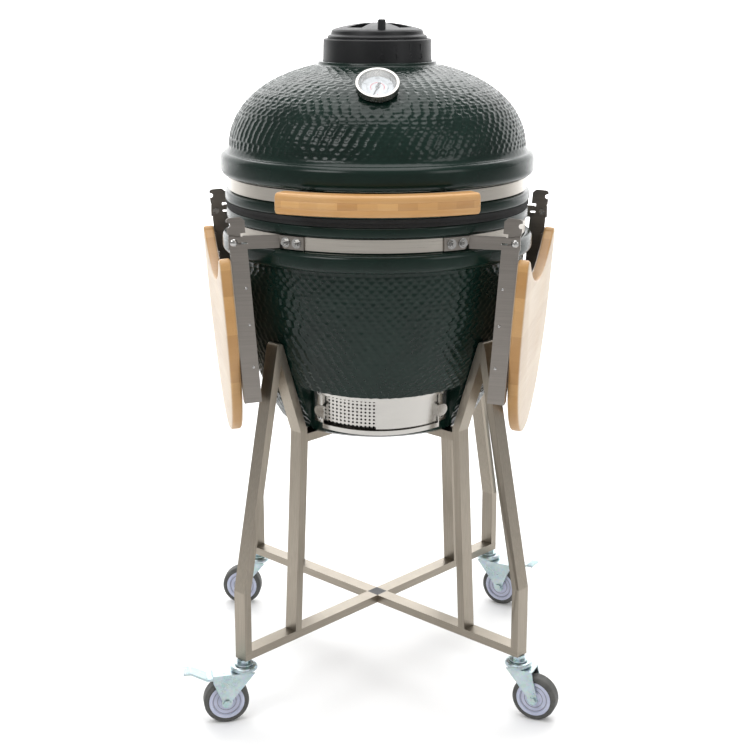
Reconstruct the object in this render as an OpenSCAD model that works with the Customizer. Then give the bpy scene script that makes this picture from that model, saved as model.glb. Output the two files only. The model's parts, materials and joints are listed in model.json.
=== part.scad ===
// Ceramic egg charcoal grill on a wheeled stand, with two folding side shelves.
// The origin is on the floor below the egg's axis. The front faces -Y and Z is up.

/* [Ceramic egg] */
// Radius of the ceramic body under the bands
egg_r = 252; // [235:1:300]
// Height of the ceramic base, from its foot to the joint with the lid
base_h = 372; // [350:1:450]
// Height of the lid's dome above its flange
dome_h = 153.5; // [130:0.5:185]
// Wall of the ceramic at the rim
wall = 24; // [20:1:30]
// How far the two flanges stand out from the body
flange_out = 13; // [10:0.5:16]
// How far the two rim lips stand out from the body
lip_out = 6; // [4:0.5:8]
// Radius of the smooth neck on top of the lid
neck_r = 99; // [94:1:110]
// Radius of the chimney hole in the lid
chimney_r = 70; // [55:1:76]
// Thickness of each felt gasket
gasket_t = 6.2; // [4:0.1:8]
// Gap between the two closed gaskets
gasket_gap = 0.6; // [0.4:0.1:1]

/* [Bands and handle] */
// Height of the two stainless bands
band_h = 20.8; // [17:0.1:25]
// Thickness of the two stainless bands
band_t = 2; // [1.5:0.1:2.5]
// Length of the handle, measured straight from end to end
handle_len = 314; // [260:1:380]
// Height of the handle
handle_h = 33; // [27:1:40]
// Thickness of the handle
handle_t = 28; // [23:1:34]
// Clear space between the lid flange and the handle
handle_gap = 28; // [22:1:40]

/* [Vent cap] */
// Outer radius of the vent collar at its foot
collar_r = 91; // [86:1:96]
// Height of the vent collar
collar_h = 36.5; // [30:0.5:44]
// Radius of the turning disc
disc_r = 83; // [79:1:86]
// Height of the knob peg above the disc's crown
knob_h = 15; // [11:1:20]
// Angle that the disc turns from shut to open
vent_turn = 45; // [30:1:50]

/* [Thermometer] */
// Diameter of the thermometer's bezel
gauge_d = 68; // [58:1:80]
// Depth of the thermometer's case
gauge_t = 15; // [12:1:18]

/* [Hinge] */
// Diameter of the lid's hinge pin
hinge_pin_d = 8; // [6:0.5:10]
// Distance from the flange to the hinge pin
hinge_out = 20; // [16:1:26]

/* [Draft door] */
// Height of the draft frame
draft_h = 70; // [60:1:76]
// Half of the angle that the draft window spans
draft_half = 31; // [26:1:34]
// Angle that the draft frame leans out at its top, along the egg's wall
draft_lean = 12; // [8:0.5:15]
// Diameter of the holes in the draft screen
mesh_d = 3.6; // [2.5:0.1:4]

/* [Shelves] */
// Width of each shelf board, along its hinge line
board_w = 350; // [300:1:400]
// Length of each shelf board, from its hinge level to its outer edge
board_len = 351; // [310:1:380]
// Thickness of each shelf board
board_t = 19; // [15:0.5:23]
// Distance between the two arms of a shelf
arm_span = 334; // [300:1:350]
// Width of a shelf arm
arm_w = 28; // [24:1:34]
// Length of a shelf arm below its pivot
arm_len = 264; // [220:1:300]
// Thickness of the shelf arms and brackets
plate_t = 3; // [2:0.5:4]
// Angle that each shelf is turned towards the front
shelf_turn = 12.4; // [8:0.1:14.9]
// Diameter of the shelf pivots
pivot_d = 7; // [5:0.5:8]

/* [Stand] */
// Height of the support tubes' top face, where the egg stands
stand_h = 466; // [440:1:560]
// Distance from the egg's axis to the outer face of a leg
leg_reach = 330; // [310:1:400]
// Width of the rectangular tube
tube_w = 25; // [21:1:30]
// Thickness of the rectangular tube
tube_t = 14; // [12:0.5:17]

/* [Casters] */
// Diameter of the caster wheels
wheel_d = 75; // [63:1:90]
// Width of the caster wheels
wheel_w = 25; // [21:1:30]
// Distance between a caster's swivel axis and its axle
trail = 31; // [26:1:38]
// Diameter of the axle
axle_d = 8; // [6:0.5:10]
// Height of the legs' lower end above the floor
load_h = 107; // [105:1:130]

/* [Hidden] */
$fn = 96;

glaze = [0.09, 0.17, 0.14];
clay = [0.72, 0.66, 0.56];
steel = [0.66, 0.64, 0.6];
zinc = [0.72, 0.8, 0.8];
bamboo = [0.85, 0.7, 0.48];
iron = [0.1, 0.1, 0.11];
felt = [0.06, 0.06, 0.06];

run_gap = 0.05;          // radial clearance of a turning fit
free_gap = 0.5;          // clearance between pieces that move past each other
seat_gap = 0.3;          // clearance between a band and its groove in the ceramic
bite = 0.4;              // overlap of joined shapes, and overcut of a hole

// Heights of the ceramic pieces, stacked from the stand and the joint
joint_z = stand_h + base_h;
base_top = joint_z - gasket_gap / 2 - gasket_t;
lid_bottom = joint_z + gasket_gap / 2 + gasket_t;
lip_h = 17;
groove_h = band_h + 4;
base_groove_top = base_top - lip_h;
base_flange_top = base_groove_top - groove_h;
base_flange_h = 30;
lid_groove_bottom = lid_bottom + lip_h;
lid_flange_bottom = lid_groove_bottom + groove_h;
lid_flange_h = 40;
flange_r = egg_r + flange_out;
lip_r = egg_r + lip_out;
groove_r = egg_r - band_t;
inner_r = egg_r - wall;
base_band_z = base_groove_top - groove_h / 2;
lid_band_z = lid_groove_bottom + groove_h / 2;

// Curves of the base: half ellipses, centred below the band
base_mid = base_flange_top + 8;
base_depth = (base_mid - stand_h) / 0.7512;
cavity_depth = base_depth * 0.79;
floor_t = 26;
floor_z = stand_h + floor_t;
function outer_at(z) = egg_r * sqrt(1 - pow((base_mid - z) / base_depth, 2));
function cavity_at(z) = inner_r * sqrt(1 - pow((base_mid - z) / cavity_depth, 2));

// Curve of the dome: a superellipse, from the flange to the neck
dome_power = 2.3;
dome_mid = lid_flange_bottom + lid_flange_h - 7;
neck_top = dome_mid + dome_h;
neck_h = 5;
dome_rise = (dome_h - neck_h) / pow(sin(dome_end(neck_r, egg_r)), 2 / dome_power);
inner_rise = dome_rise - wall;
function dome_end(r, r0) = acos(pow(r / r0, dome_power / 2));
function dome_pt(t, r0, rise) = [
    r0 * pow(cos(t), 2 / dome_power),
    dome_mid + rise * pow(sin(t), 2 / dome_power)
];
function dome_pts(r_end, r0, rise, n) = [
    for (i = [0:n]) dome_pt(dome_end(r_end, r0) * pow(i / n, 0.9), r0, rise)
];

// Points of a round stretch about c, from angle a to angle b
function arc(c, r, a, b, n = 8) = [
    for (i = [0:n]) c + r * [cos(a + (b - a) * i / n), sin(a + (b - a) * i / n)]
];
function flip(v) = [for (i = [len(v) - 1:-1:0]) v[i]];

// ---- Shared shapes ----------------------------------------------------------

// A ring between two radii
module ring(r1, r2, h) {
    difference() {
        cylinder(r = r2, h = h);
        translate([0, 0, -bite]) cylinder(r = r1, h = h + 2 * bite);
    }
}

// Part of a ring, from angle a to angle b
module sector(r1, r2, z1, z2, a, b) {
    rotate([0, 0, a]) rotate_extrude(angle = b - a)
        polygon([[r1, z1], [r2, z1], [r2, z2], [r1, z2]]);
}

function washer_r(d) = 1.35 * d;

// A stud bolt along +Z: a washer on the ground, a hexagon nut, and a shank through
// the pieces below
module stud_bolt(d, grip) {
    cylinder(r = washer_r(d), h = 1);
    translate([0, 0, 1 - bite / 2]) cylinder(r = 0.95 * d, h = 0.8 * d, $fn = 6);
    translate([0, 0, -grip]) cylinder(r = d / 2, h = 1.5 * d + grip);
}

// The hole for a bolt that comes down from +Z, just deeper than the bolt
module bolt_hole(d, grip) translate([0, 0, -grip - 1]) cylinder(r = d / 2, h = grip + 6);

// A socket-head screw along +Z, its head standing on the ground
module socket_screw(d, grip) {
    difference() {
        cylinder(r = 0.85 * d, h = 0.7 * d);
        translate([0, 0, 0.3 * d]) cylinder(r = 0.4 * d, h = d, $fn = 6);
    }
    translate([0, 0, -grip]) cylinder(r = d / 2, h = grip + bite);
}

// ---- Ceramic egg ------------------------------------------------------------

module base_profile() {
    round_r = 9;
    f_mid = flange_r - 1 - round_r;
    f_low = base_flange_top - base_flange_h;
    cavity = [for (i = [0:12]) let (z = base_mid + (floor_z - base_mid) * i / 12)
        [cavity_at(z), z]];
    body = [for (i = [0:16]) let (z = stand_h + 8 + (f_low - stand_h - 8) * i / 16)
        [outer_at(z), z]];
    foot_r = outer_at(stand_h) - 6;
    polygon(concat(
        [[0, stand_h], [foot_r, stand_h]], body,
        arc([f_mid, f_low + round_r], round_r, -90, 0),
        arc([f_mid, base_flange_top - round_r], round_r, 0, 90),
        [[groove_r - seat_gap, base_flange_top], [groove_r - seat_gap, base_groove_top]],
        arc([lip_r - 2 - 4, base_groove_top + 4], 4, -90, 0, 4),
        arc([lip_r - 2 - 4, base_top - 4], 4, 0, 90, 4),
        [[inner_r, base_top]], cavity, [[0, floor_z]]
    ));
}

// Place of the draft frame: a curved window at the front of the base. Its curve is drawn
// about the egg's axis, then leant out about the middle of its lower edge.
draft_z = stand_h + 9;
draft_in_r = outer_at(draft_z) - 4;
draft_depth = 12;
draft_r = draft_in_r + draft_depth;
draft_turn = 2.2;        // the base stands slightly turned
draft_lug = 8;           // angle that a side lug covers
lug_t = 2;               // thickness of a side lug
sheet_t = 1.2;
lip_z = 8;               // height of the lips that hold the sliding panels

module at_draft() rotate([0, 0, draft_turn]) translate([0, -draft_r, draft_z])
    rotate([draft_lean, 0, 0]) translate([0, draft_r, -draft_z]) children();

module base_shell() color(glaze) difference() {
    rotate_extrude($fn = 144) base_profile();
    at_draft() {
        // recess that the draft frame stands in
        sector(draft_in_r, draft_r + 60, draft_z - 30, draft_z + draft_h + 4,
               -90 - draft_half - draft_lug - 2.5, -90 + draft_half + draft_lug + 2.5);
        // holes for the frame's screws
        for (s = [-1, 1]) for (z = draft_screw_z) at_lug(s, z)
            bolt_hole(draft_screw_d, draft_screw_grip);
    }
    // air opening behind the frame
    sector(40, draft_r + 8, floor_z + 2, draft_z + draft_h - lip_z - 2,
           -90 - draft_half + 5, -90 + draft_half - 5);
}

module base_gasket() color(felt) translate([0, 0, base_top])
    ring(inner_r + 4, lip_r - 3, gasket_t);

module base_band() color(steel) difference() {
    translate([0, 0, base_band_z - band_h / 2]) ring(groove_r, groove_r + band_t, band_h);
    at_strap_bolts() bolt_hole(bolt_d, strap_grip);
    for (s = [-1, 1]) at_hinge_bolt(s, base_band_z) bolt_hole(bolt_d, hinge_grip);
}

// Fire bowl: stands on the floor of the base, open to the draft window
bowl_gap = 6;
bowl_wall = 20;
bowl_top = floor_z + 0.62 * (base_top - floor_z);
grate_z = floor_z + 78;
grate_t = 10;
function bowl_at(z) = cavity_at(z) - bowl_gap;

module fire_bowl() {
    outer = [for (i = [0:10]) let (z = floor_z + (bowl_top - floor_z) * i / 10)
        [bowl_at(z), z]];
    inner = [for (i = [0:8]) let (z = bowl_top + (grate_z - bowl_top) * i / 8)
        [bowl_at(z) - bowl_wall, z]];
    ledge_r = bowl_at(grate_z) - bowl_wall - 14;
    color(clay) difference() {
        rotate_extrude() polygon(concat(outer, inner,
            [[ledge_r, grate_z], [ledge_r, floor_z + 40], [bowl_at(floor_z) - 16, floor_z]]));
        // draft opening at the foot
        sector(20, inner_r, floor_z - bite, floor_z + 42, -90 - draft_half + 6,
               -90 + draft_half - 6);
        // air holes round the wall
        for (a = [0:30:330]) rotate([0, 0, a + 15])
            translate([bowl_at(grate_z) - 60, 0, grate_z + 62]) rotate([0, 90, 0])
                cylinder(r = 9, h = 120);
    }
}

// Fire ring: stands on the bowl, with a step that the cooking grid lies in
ring_top = bowl_top + 66;
ring_r = bowl_at(bowl_top);
grid_t = 7;
grid_r = ring_r - 11;
module fire_ring() color(clay) rotate_extrude() polygon([
    [ring_r - 24, bowl_top], [ring_r, bowl_top], [ring_r, ring_top],
    [ring_r - 10, ring_top], [ring_r - 10, ring_top - grid_t], [ring_r - 24, ring_top - grid_t]
]);

// Cast grate under the charcoal, with straight slots
module charcoal_grate() {
    r = bowl_at(grate_z) - bowl_wall - 2;
    slot = 9;
    color(iron) translate([0, 0, grate_z]) difference() {
        cylinder(r = r, h = grate_t);
        for (k = [-5:5]) {
            half = sqrt(pow(r - 14, 2) - pow(k * 2 * slot, 2));
            for (s = [-1, 1]) translate([k * 2 * slot - slot / 2, s > 0 ? 5 : -half, -bite])
                cube([slot, half - 5, grate_t + 2 * bite]);
        }
    }
}

// Cooking grid: round rods across a flat rim
module cooking_grid() {
    rod = 2.5;
    pitch = 17;
    n = floor((grid_r - 12) / pitch);
    color(steel) translate([0, 0, ring_top - grid_t + 0.2]) {
        ring(grid_r - 7, grid_r, grid_t - 0.4);
        for (k = [-n:n]) {
            half = sqrt(pow(grid_r - 3, 2) - pow(k * pitch, 2));
            translate([k * pitch, half, grid_t / 2]) rotate([90, 0, 0])
                cylinder(r = rod, h = 2 * half, $fn = 24);
        }
    }
}

// ---- Lid ----------------------------------------------------------------------

module lid_profile() {
    round_r = 12;
    f_mid = flange_r - round_r;
    polygon(concat(
        [[inner_r, lid_bottom]],
        arc([lip_r - 4, lid_bottom + 4], 4, -90, 0, 4),
        arc([lip_r - 4, lid_groove_bottom - 4], 4, 0, 90, 4),
        [[groove_r - seat_gap, lid_groove_bottom], [groove_r - seat_gap, lid_flange_bottom]],
        arc([f_mid, lid_flange_bottom + round_r], round_r, -90, 0),
        arc([f_mid, lid_flange_bottom + lid_flange_h - round_r], round_r, 0, 80),
        [for (p = dome_pts(neck_r + 2, egg_r, dome_rise, 28)) if (p[1] > dome_mid + 8) p],
        [[neck_r + 1, neck_top - neck_h], [neck_r, neck_top], [chimney_r, neck_top]],
        flip(dome_pts(chimney_r, inner_r, inner_rise, 20))
    ));
}

// Thermometer: square to the dome at its own height on the front
gauge_tilt = 52;
gauge_z = dome_mid + 0.77 * dome_h;
gauge_t_end = asin(pow((gauge_z - dome_mid) / dome_rise, dome_power / 2));
gauge_y = dome_pt(gauge_t_end, egg_r, dome_rise)[0];
gauge_r = gauge_d / 2;
stem_r = 4;
stem_hole_r = stem_r + 1;
module at_gauge() translate([0, -gauge_y, gauge_z]) rotate([90 - gauge_tilt, 0, 0]) children();

module lid_shell() color(glaze) difference() {
    rotate_extrude($fn = 144) lid_profile();
    at_gauge() translate([0, 0, -2 * wall]) cylinder(r = stem_hole_r, h = 4 * wall);
    // flat seat under the thermometer's case
    at_gauge() cylinder(r = gauge_r - 8, h = wall);
}

module lid_gasket() color(felt) translate([0, 0, lid_bottom - gasket_t])
    ring(inner_r + 4, lip_r - 1, gasket_t);

module lid_band() color(steel) difference() {
    translate([0, 0, lid_band_z - band_h / 2]) ring(groove_r, groove_r + band_t, band_h);
    at_foot_bolts() bolt_hole(bolt_d, strap_grip);
    for (s = [-1, 1]) at_hinge_bolt(s, lid_band_z) bolt_hole(bolt_d, hinge_grip);
}

// Handle: a curved bar round the front, on two brackets from the lid band
handle_r = flange_r + handle_gap;
handle_half = asin(handle_len / 2 / (handle_r + handle_t));
band_out = groove_r + band_t;
bracket_az = 24;         // angle of the handle brackets from the middle
bolt_d = 6;
bolt_side = 14;          // distance of a handle bolt from its bracket's middle
grip_depth = 14;         // how deep a handle bolt reaches into the wood
strap_grip = plate_t + band_t;

module lid_handle() {
    edge = 6;
    r2 = handle_r + handle_t;
    h = handle_h / 2;
    section = concat(
        arc([handle_r + 3, h - 3], 3, 180, 90, 3), arc([r2 - edge, h - edge], edge, 90, 0, 5),
        arc([r2 - edge, edge - h], edge, 0, -90, 5), arc([handle_r + 3, 3 - h], 3, 270, 180, 3));
    color(bamboo) difference() {
        translate([0, 0, lid_band_z]) rotate([0, 0, -90 - handle_half])
            rotate_extrude(angle = 2 * handle_half) polygon(section);
        at_grip_bolts() bolt_hole(bolt_d, plate_t + grip_depth);
    }
}

// The frame of a handle bracket: +X out from the lid's axis
module at_bracket(s) translate([0, 0, lid_band_z]) rotate([0, 0, -90 + s * bracket_az])
    children();

// The four bolts on the brackets' feet, and the four that hold the handle from behind
module at_foot_bolts() for (s = [-1, 1]) at_bracket(s) for (t = [-1, 1])
    rotate([0, 0, t * asin(bolt_side / (band_out + plate_t))])
        translate([band_out + plate_t, 0, 0]) rotate([0, 90, 0]) children();
module at_grip_bolts() for (s = [-1, 1]) at_bracket(s) for (t = [-1, 1])
    rotate([0, 0, t * asin(bolt_side / handle_r)])
        translate([handle_r - plate_t - 0.1, 0, 0]) rotate([0, -90, 0]) children();

module handle_brackets() color(steel) difference() {
    h = band_h - 2;
    foot = 5;            // half angle of the foot
    for (s = [-1, 1]) at_bracket(s) {
        // foot on the band, the upright web, and the plate behind the handle
        sector(band_out, band_out + plate_t, -h / 2, h / 2, -foot, foot);
        translate([band_out + 1, -plate_t / 2, -h / 2 + 1])
            cube([handle_r - band_out - 2, plate_t, h - 2]);
        sector(handle_r - plate_t, handle_r, -h / 2, h / 2, -foot - 0.5, foot + 0.5);
    }
    at_foot_bolts() bolt_hole(bolt_d, plate_t);
    at_grip_bolts() bolt_hole(bolt_d, plate_t);
}

// Bolts on the lid: two on each handle bracket's foot, two from each bracket into the
// handle, and two on the lid's hinge bracket
module lid_band_bolts() color(zinc) {
    at_foot_bolts() stud_bolt(bolt_d, strap_grip);
    at_grip_bolts() {
        cylinder(r = bolt_d, h = 4);
        translate([0, 0, -plate_t - grip_depth])
            cylinder(r = bolt_d / 2, h = plate_t + grip_depth + 1);
    }
    for (s = [-1, 1]) at_hinge_bolt(s, lid_band_z) stud_bolt(bolt_d, hinge_grip);
}

dial_z = 3.6;            // height of the dial's back above the seat
dial_t = 1;
dial_r = gauge_r - 9;
needle_pin_r = 1.5;
glass_t = 2;

module thermometer_case() color("silver") at_gauge() {
    difference() {
        union() {
            cylinder(r = gauge_r - 8, h = gauge_t * 0.4);
            translate([0, 0, gauge_t * 0.3]) cylinder(r = gauge_r, h = gauge_t * 0.7);
            translate([0, 0, -wall - 30]) cylinder(r = stem_r, h = wall + 31);
        }
        // deep bezel that narrows to the dial
        translate([0, 0, dial_z]) cylinder(r1 = dial_r, r2 = gauge_r - 4, h = gauge_t - dial_z);
        translate([0, 0, gauge_t - bite]) cylinder(r = gauge_r - 4, h = 1);
        translate([0, 0, dial_z - 4]) cylinder(r = needle_pin_r + run_gap, h = gauge_t);
    }
}

module thermometer_dial() color("white") at_gauge() translate([0, 0, dial_z])
    ring(needle_pin_r + 1, dial_r, dial_t);

// Needle on its own pin. It points at 7 o'clock and has a short tail.
needle_az = -108;
module thermometer_needle() color("black") at_gauge() {
    tip = dial_r - 6;
    translate([0, 0, dial_z - 3.5]) cylinder(r = needle_pin_r, h = 3.5 + dial_t + 1.2, $fn = 24);
    rotate([0, 0, needle_az]) translate([0, 0, dial_z + dial_t + 0.4]) {
        cylinder(r = 3.2, h = 1, $fn = 32);
        linear_extrude(1) polygon([[-10, -2.2], [0, -1.6], [tip, -0.5], [tip, 0.5],
            [0, 1.6], [-10, 2.2]]);
    }
}

module thermometer_glass() color([0.8, 0.9, 0.95]) at_gauge()
    translate([0, 0, gauge_t - glass_t]) cylinder(r = gauge_r - 5, h = glass_t - 0.4);

// ---- Vent cap -------------------------------------------------------------------

plate_h = 6;
collar_top = neck_top + collar_h;
vent_bolt_r = 4;
slot_in = 26;
slot_out = 62;
slot_half = 15;
knob_az = 6;             // the knob's angle from the front when the disc is shut
slot_az = [for (i = [0:3]) knob_az + 45 + 90 * i];       // middles of the disc's openings

module vent_collar() color(iron) difference() {
    rotate_extrude() polygon([
        [chimney_r, neck_top], [collar_r, neck_top], [collar_r - 1, collar_top - 1.5],
        [collar_r - 2.5, collar_top], [0, collar_top],
        [0, collar_top - plate_h], [chimney_r, collar_top - plate_h]]);
    for (a = slot_az) sector(slot_in, slot_out, collar_top - 2 * plate_h, collar_top + 1,
        a + vent_turn - slot_half, a + vent_turn + slot_half);
    translate([0, 0, collar_top - 2 * plate_h]) cylinder(r = vent_bolt_r, h = 3 * plate_h);
}

disc_z = collar_top + free_gap;
disc_t = 3.5;
crown_r = disc_r - 5.5;
shoulder = 8;            // how far the crown's rounded edge reaches in
crown_z = disc_z + 16.4;
crown_h = 9.6;           // rise of the crown above its rounded edge
knob_y = -66;
knob_r = 6.5;
cap_r = 7;
cap_h = 2.5;

// Turning disc: a rim and a crown with a rounded edge, four openings and the knob peg
module vent_disc() {
    start_r = crown_r - shoulder;
    ball_r = (start_r * start_r + crown_h * crown_h) / (2 * crown_h);
    turn = asin(start_r / ball_r);
    shell = 4;
    top = crown_z + crown_h;
    color(iron) difference() {
        union() {
            rotate_extrude() polygon(concat(
                [[0, disc_z], [disc_r, disc_z], [disc_r, disc_z + disc_t],
                 [disc_r - 1.5, disc_z + disc_t + 1.5], [crown_r + 0.8, disc_z + 6.5],
                 [crown_r, disc_z + 7], [crown_r - 1, crown_z - 4.4],
                 [crown_r - 3.2, crown_z - 2]],
                [for (i = [0:10]) let (a = turn * (1 - i / 10))
                    [ball_r * sin(a), top - ball_r + ball_r * cos(a)]]));
            rotate([0, 0, knob_az]) translate([0, knob_y, crown_z - 4]) {
                cylinder(r = knob_r, h = knob_h + 3.5, $fn = 48);
                translate([0, 0, knob_h + 3.5]) cylinder(r1 = knob_r, r2 = knob_r - 1.5,
                    h = 1.5, $fn = 48);
            }
        }
        // hollow under the crown
        rotate_extrude() polygon([[15, disc_z - 1], [crown_r - shell - 1, disc_z - 1],
            [crown_r - shell - 1.5, crown_z - 7], [crown_r - shell - 7, crown_z - 4],
            [40, crown_z + 2.2], [15, crown_z + 4.9]]);
        for (a = slot_az) sector(slot_in, slot_out, disc_z - 1, top + 5,
            a - slot_half, a + slot_half);
        translate([0, 0, disc_z - 1]) cylinder(r = vent_bolt_r + run_gap, h = top);
        translate([0, 0, top - cap_h - free_gap]) cylinder(r = cap_r + free_gap, h = 10);
    }
}

// Pivot bolt through the collar's plate, with a sunk head above and a nut below
module vent_pivot() color("silver") {
    nut_h = 5;
    foot = collar_top - plate_h - nut_h;
    head = crown_z + crown_h - cap_h;
    translate([0, 0, foot]) cylinder(r = vent_bolt_r, h = head + bite - foot);
    translate([0, 0, head]) cylinder(r = cap_r, h = cap_h);
    translate([0, 0, foot]) cylinder(r = 2 * vent_bolt_r, h = nut_h, $fn = 6);
}

// ---- Lid hinge ------------------------------------------------------------------

hinge_y = flange_r + hinge_out;
hinge_r = hinge_pin_d / 2;
ear_t = 6;
base_ear_x = 26;         // inner face of a base ear
lid_ear_x = base_ear_x + ear_t + free_gap;
knuckle_r = hinge_r + 5;
hinge_half = 11;         // half angle of the plates on the bands

hinge_plate_t = 4;
hinge_grip = hinge_plate_t + band_t;
// The bolts' washers stay just inside the ears
hinge_bolt_az = asin((base_ear_x - washer_r(bolt_d) - 1.5) / (band_out + hinge_plate_t));

module at_hinge_bolt(s, z) translate([0, 0, z]) rotate([0, 0, 90 + s * hinge_bolt_az])
    translate([band_out + hinge_plate_t, 0, 0]) rotate([0, 90, 0]) children();

// An ear in the hinge's plane, from its root on a band to the knuckle
module ear(x, root_z, root_h, side) {
    low = root_z - root_h / 2;
    high = root_z + root_h / 2;
    near = side > 0 ? low : high;
    far = side > 0 ? high : low;
    translate([x, 0, 0]) rotate([90, 0, 90]) linear_extrude(ear_t) {
        polygon([[band_out + 1, near], [band_out + 1, far], [flange_r + 5, far],
            [hinge_y + knuckle_r - 1, joint_z + side * 4], [hinge_y - knuckle_r, joint_z],
            [flange_r - 1, near]]);
        translate([hinge_y, joint_z]) circle(r = knuckle_r);
    }
}

module hinge_bore(r) translate([-100, hinge_y, joint_z]) rotate([0, 90, 0])
    cylinder(r = r, h = 200);

module hinge_base_bracket() color(steel) difference() {
    union() {
        sector(band_out, band_out + hinge_plate_t, base_band_z - band_h / 2,
               base_band_z + band_h / 2, 90 - hinge_half, 90 + hinge_half);
        for (s = [0, 1]) mirror([s, 0, 0]) ear(base_ear_x, base_band_z, band_h, -1);
    }
    hinge_bore(hinge_r);
    for (s = [-1, 1]) at_hinge_bolt(s, base_band_z) bolt_hole(bolt_d, hinge_grip);
}

module hinge_lid_bracket() color(steel) difference() {
    union() {
        sector(band_out, band_out + hinge_plate_t, lid_band_z - band_h / 2,
               lid_band_z + band_h / 2, 90 - hinge_half, 90 + hinge_half);
        for (s = [0, 1]) mirror([s, 0, 0]) ear(lid_ear_x, lid_band_z, band_h, 1);
    }
    hinge_bore(hinge_r + run_gap);
    for (s = [-1, 1]) at_hinge_bolt(s, lid_band_z) bolt_hole(bolt_d, hinge_grip);
}

module hinge_pin() color(zinc) {
    half = lid_ear_x + ear_t + 1.5;
    translate([-half, hinge_y, joint_z]) rotate([0, 90, 0]) cylinder(r = hinge_r, h = 2 * half);
    for (s = [0, 1]) mirror([s, 0, 0]) translate([half - 1, hinge_y, joint_z])
        rotate([0, 90, 0]) cylinder(r = hinge_r + 3, h = 3);
}

// Two torsion springs round the pin, kept as plain sleeves
spring_r = hinge_r + 4.5;
module hinge_springs() color("dimgray") for (s = [0, 1]) mirror([s, 0, 0])
    translate([2, hinge_y, joint_z]) rotate([0, 90, 0])
        ring(hinge_r + 0.5, spring_r, base_ear_x - 3);

// ---- Draft door -----------------------------------------------------------------

draft_top = draft_z + draft_h;
draft_end = draft_half + 1;
screen_r = draft_in_r + 4;
door_r = draft_in_r + 7.5;
panel_z = draft_z + sheet_t + free_gap;
panel_h = draft_h - 2 * sheet_t - 2 * free_gap;
overlap = 3;             // angle by which the shut panels pass the middle
tab_r = 11;
tab_reach = 7;           // straight part of a tab, before its round end

module draft_frame() color(steel) at_draft() {
    // curved window with a channel above and below it, closed at both ends
    difference() {
        sector(draft_in_r, draft_r, draft_z, draft_top, -90 - draft_end - 0.3,
               -90 + draft_end + 0.3);
        translate([0, 0, draft_z]) rotate([0, 0, -90 - draft_end + 0.3])
            rotate_extrude(angle = 2 * draft_end - 0.6) polygon([
                [draft_in_r - 2, lip_z], [draft_in_r + sheet_t, lip_z],
                [draft_in_r + sheet_t, sheet_t], [draft_r - sheet_t, sheet_t],
                [draft_r - sheet_t, lip_z], [draft_r + 2, lip_z],
                [draft_r + 2, draft_h - lip_z], [draft_r - sheet_t, draft_h - lip_z],
                [draft_r - sheet_t, draft_h - sheet_t], [draft_in_r + sheet_t, draft_h - sheet_t],
                [draft_in_r + sheet_t, draft_h - lip_z], [draft_in_r - 2, draft_h - lip_z]]);
    }
    // side lugs with their screw holes
    for (s = [-1, 1]) difference() {
        sector(draft_in_r + 0.2, draft_in_r + lug_t, draft_z + 3, draft_top - 0.6,
               -90 + s * (draft_end + draft_lug / 2) - draft_lug / 2,
               -90 + s * (draft_end + draft_lug / 2) + draft_lug / 2);
        for (z = draft_screw_z) at_lug(s, z) bolt_hole(draft_screw_d, lug_t);
    }
}
draft_screw_z = [draft_z + 13, draft_top - 10];
draft_screw_d = 5;
draft_screw_grip = 14;   // how deep the screws reach into the ceramic
module at_lug(s, z) rotate([0, 0, -90 + s * (draft_end + draft_lug / 2)])
    translate([draft_in_r + lug_t, 0, z]) rotate([0, 90, 0]) children();

module draft_screws() color(zinc) at_draft() for (s = [-1, 1]) for (z = draft_screw_z)
    at_lug(s, z) socket_screw(draft_screw_d, draft_screw_grip);

// Finger tab with a round end at the outer end of a panel: s is -1 on the left, 1 on the right
module tab(s, r) {
    z = panel_z + panel_h / 2 - 3;
    out = draft_r + 3;
    sector(r, out, z - tab_r, z + tab_r, -90 + s * draft_half - 0.35, -90 + s * draft_half + 0.35);
    rotate([0, 0, -90 + s * draft_half]) translate([out - sheet_t, 0, z]) rotate([0, 90, 0]) {
        translate([-tab_r, s > 0 ? -1 : -tab_reach, 0]) cube([2 * tab_r, tab_reach + 1, sheet_t]);
        intersection() {
            translate([0, s * tab_reach, 0]) cylinder(r = tab_r, h = sheet_t);
            translate([-tab_r, s > 0 ? 1 : -1 - 2 * tab_r, 0]) cube([2 * tab_r, 2 * tab_r, sheet_t]);
        }
    }
}

module draft_screen() {
    cols = 12;
    rows = 8;
    step_a = (draft_half - overlap - 0.4) / cols;
    step_z = (draft_h - 2 * lip_z - 1) / rows;
    color(steel) at_draft() {
        difference() {
            sector(screen_r, screen_r + sheet_t, panel_z, panel_z + panel_h,
                   -90 - draft_half - 0.35, -90 + overlap);
            for (i = [0:cols - 1]) for (j = [0:rows - 1])
                rotate([0, 0, -90 - draft_half + 0.4 + (i + 0.5) * step_a])
                    translate([screen_r - 5, 0, draft_z + lip_z + 0.5 + (j + 0.5) * step_z])
                        rotate([0, 90, 0]) cylinder(r = mesh_d / 2, h = 12, $fn = 16);
        }
        tab(-1, screen_r + 0.2);
    }
}

module draft_door() color("silver") at_draft() {
    sector(door_r, door_r + sheet_t, panel_z, panel_z + panel_h,
           -90 - overlap, -90 + draft_half + 0.35);
    tab(1, door_r + 0.2);
}

// ---- Stand ----------------------------------------------------------------------

cart_turn = 1.8;         // the stand stands slightly turned under the egg
leg_r = leg_reach - tube_t / 2;
post_r = 0.63 * leg_r + 6;
bend_z = load_h + 118;
knee_z = stand_h + 5;
apex_z = stand_h + 158;
knee_r = outer_at(stand_h + 2) + 16 + tube_t / 2;
apex_r = outer_at(apex_z) + 3.5 + tube_t / 2;

// A straight tube in the frame's plane, seen from its side, with round ends
module bar(p, q) {
    d = q - p;
    n = [-d[1], d[0]] * tube_t / 2 / norm(d);
    polygon([p + n, p - n, q - n, q + n]);
    for (e = [p, q]) translate(e) circle(r = tube_t / 2, $fn = 48);
}

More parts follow.
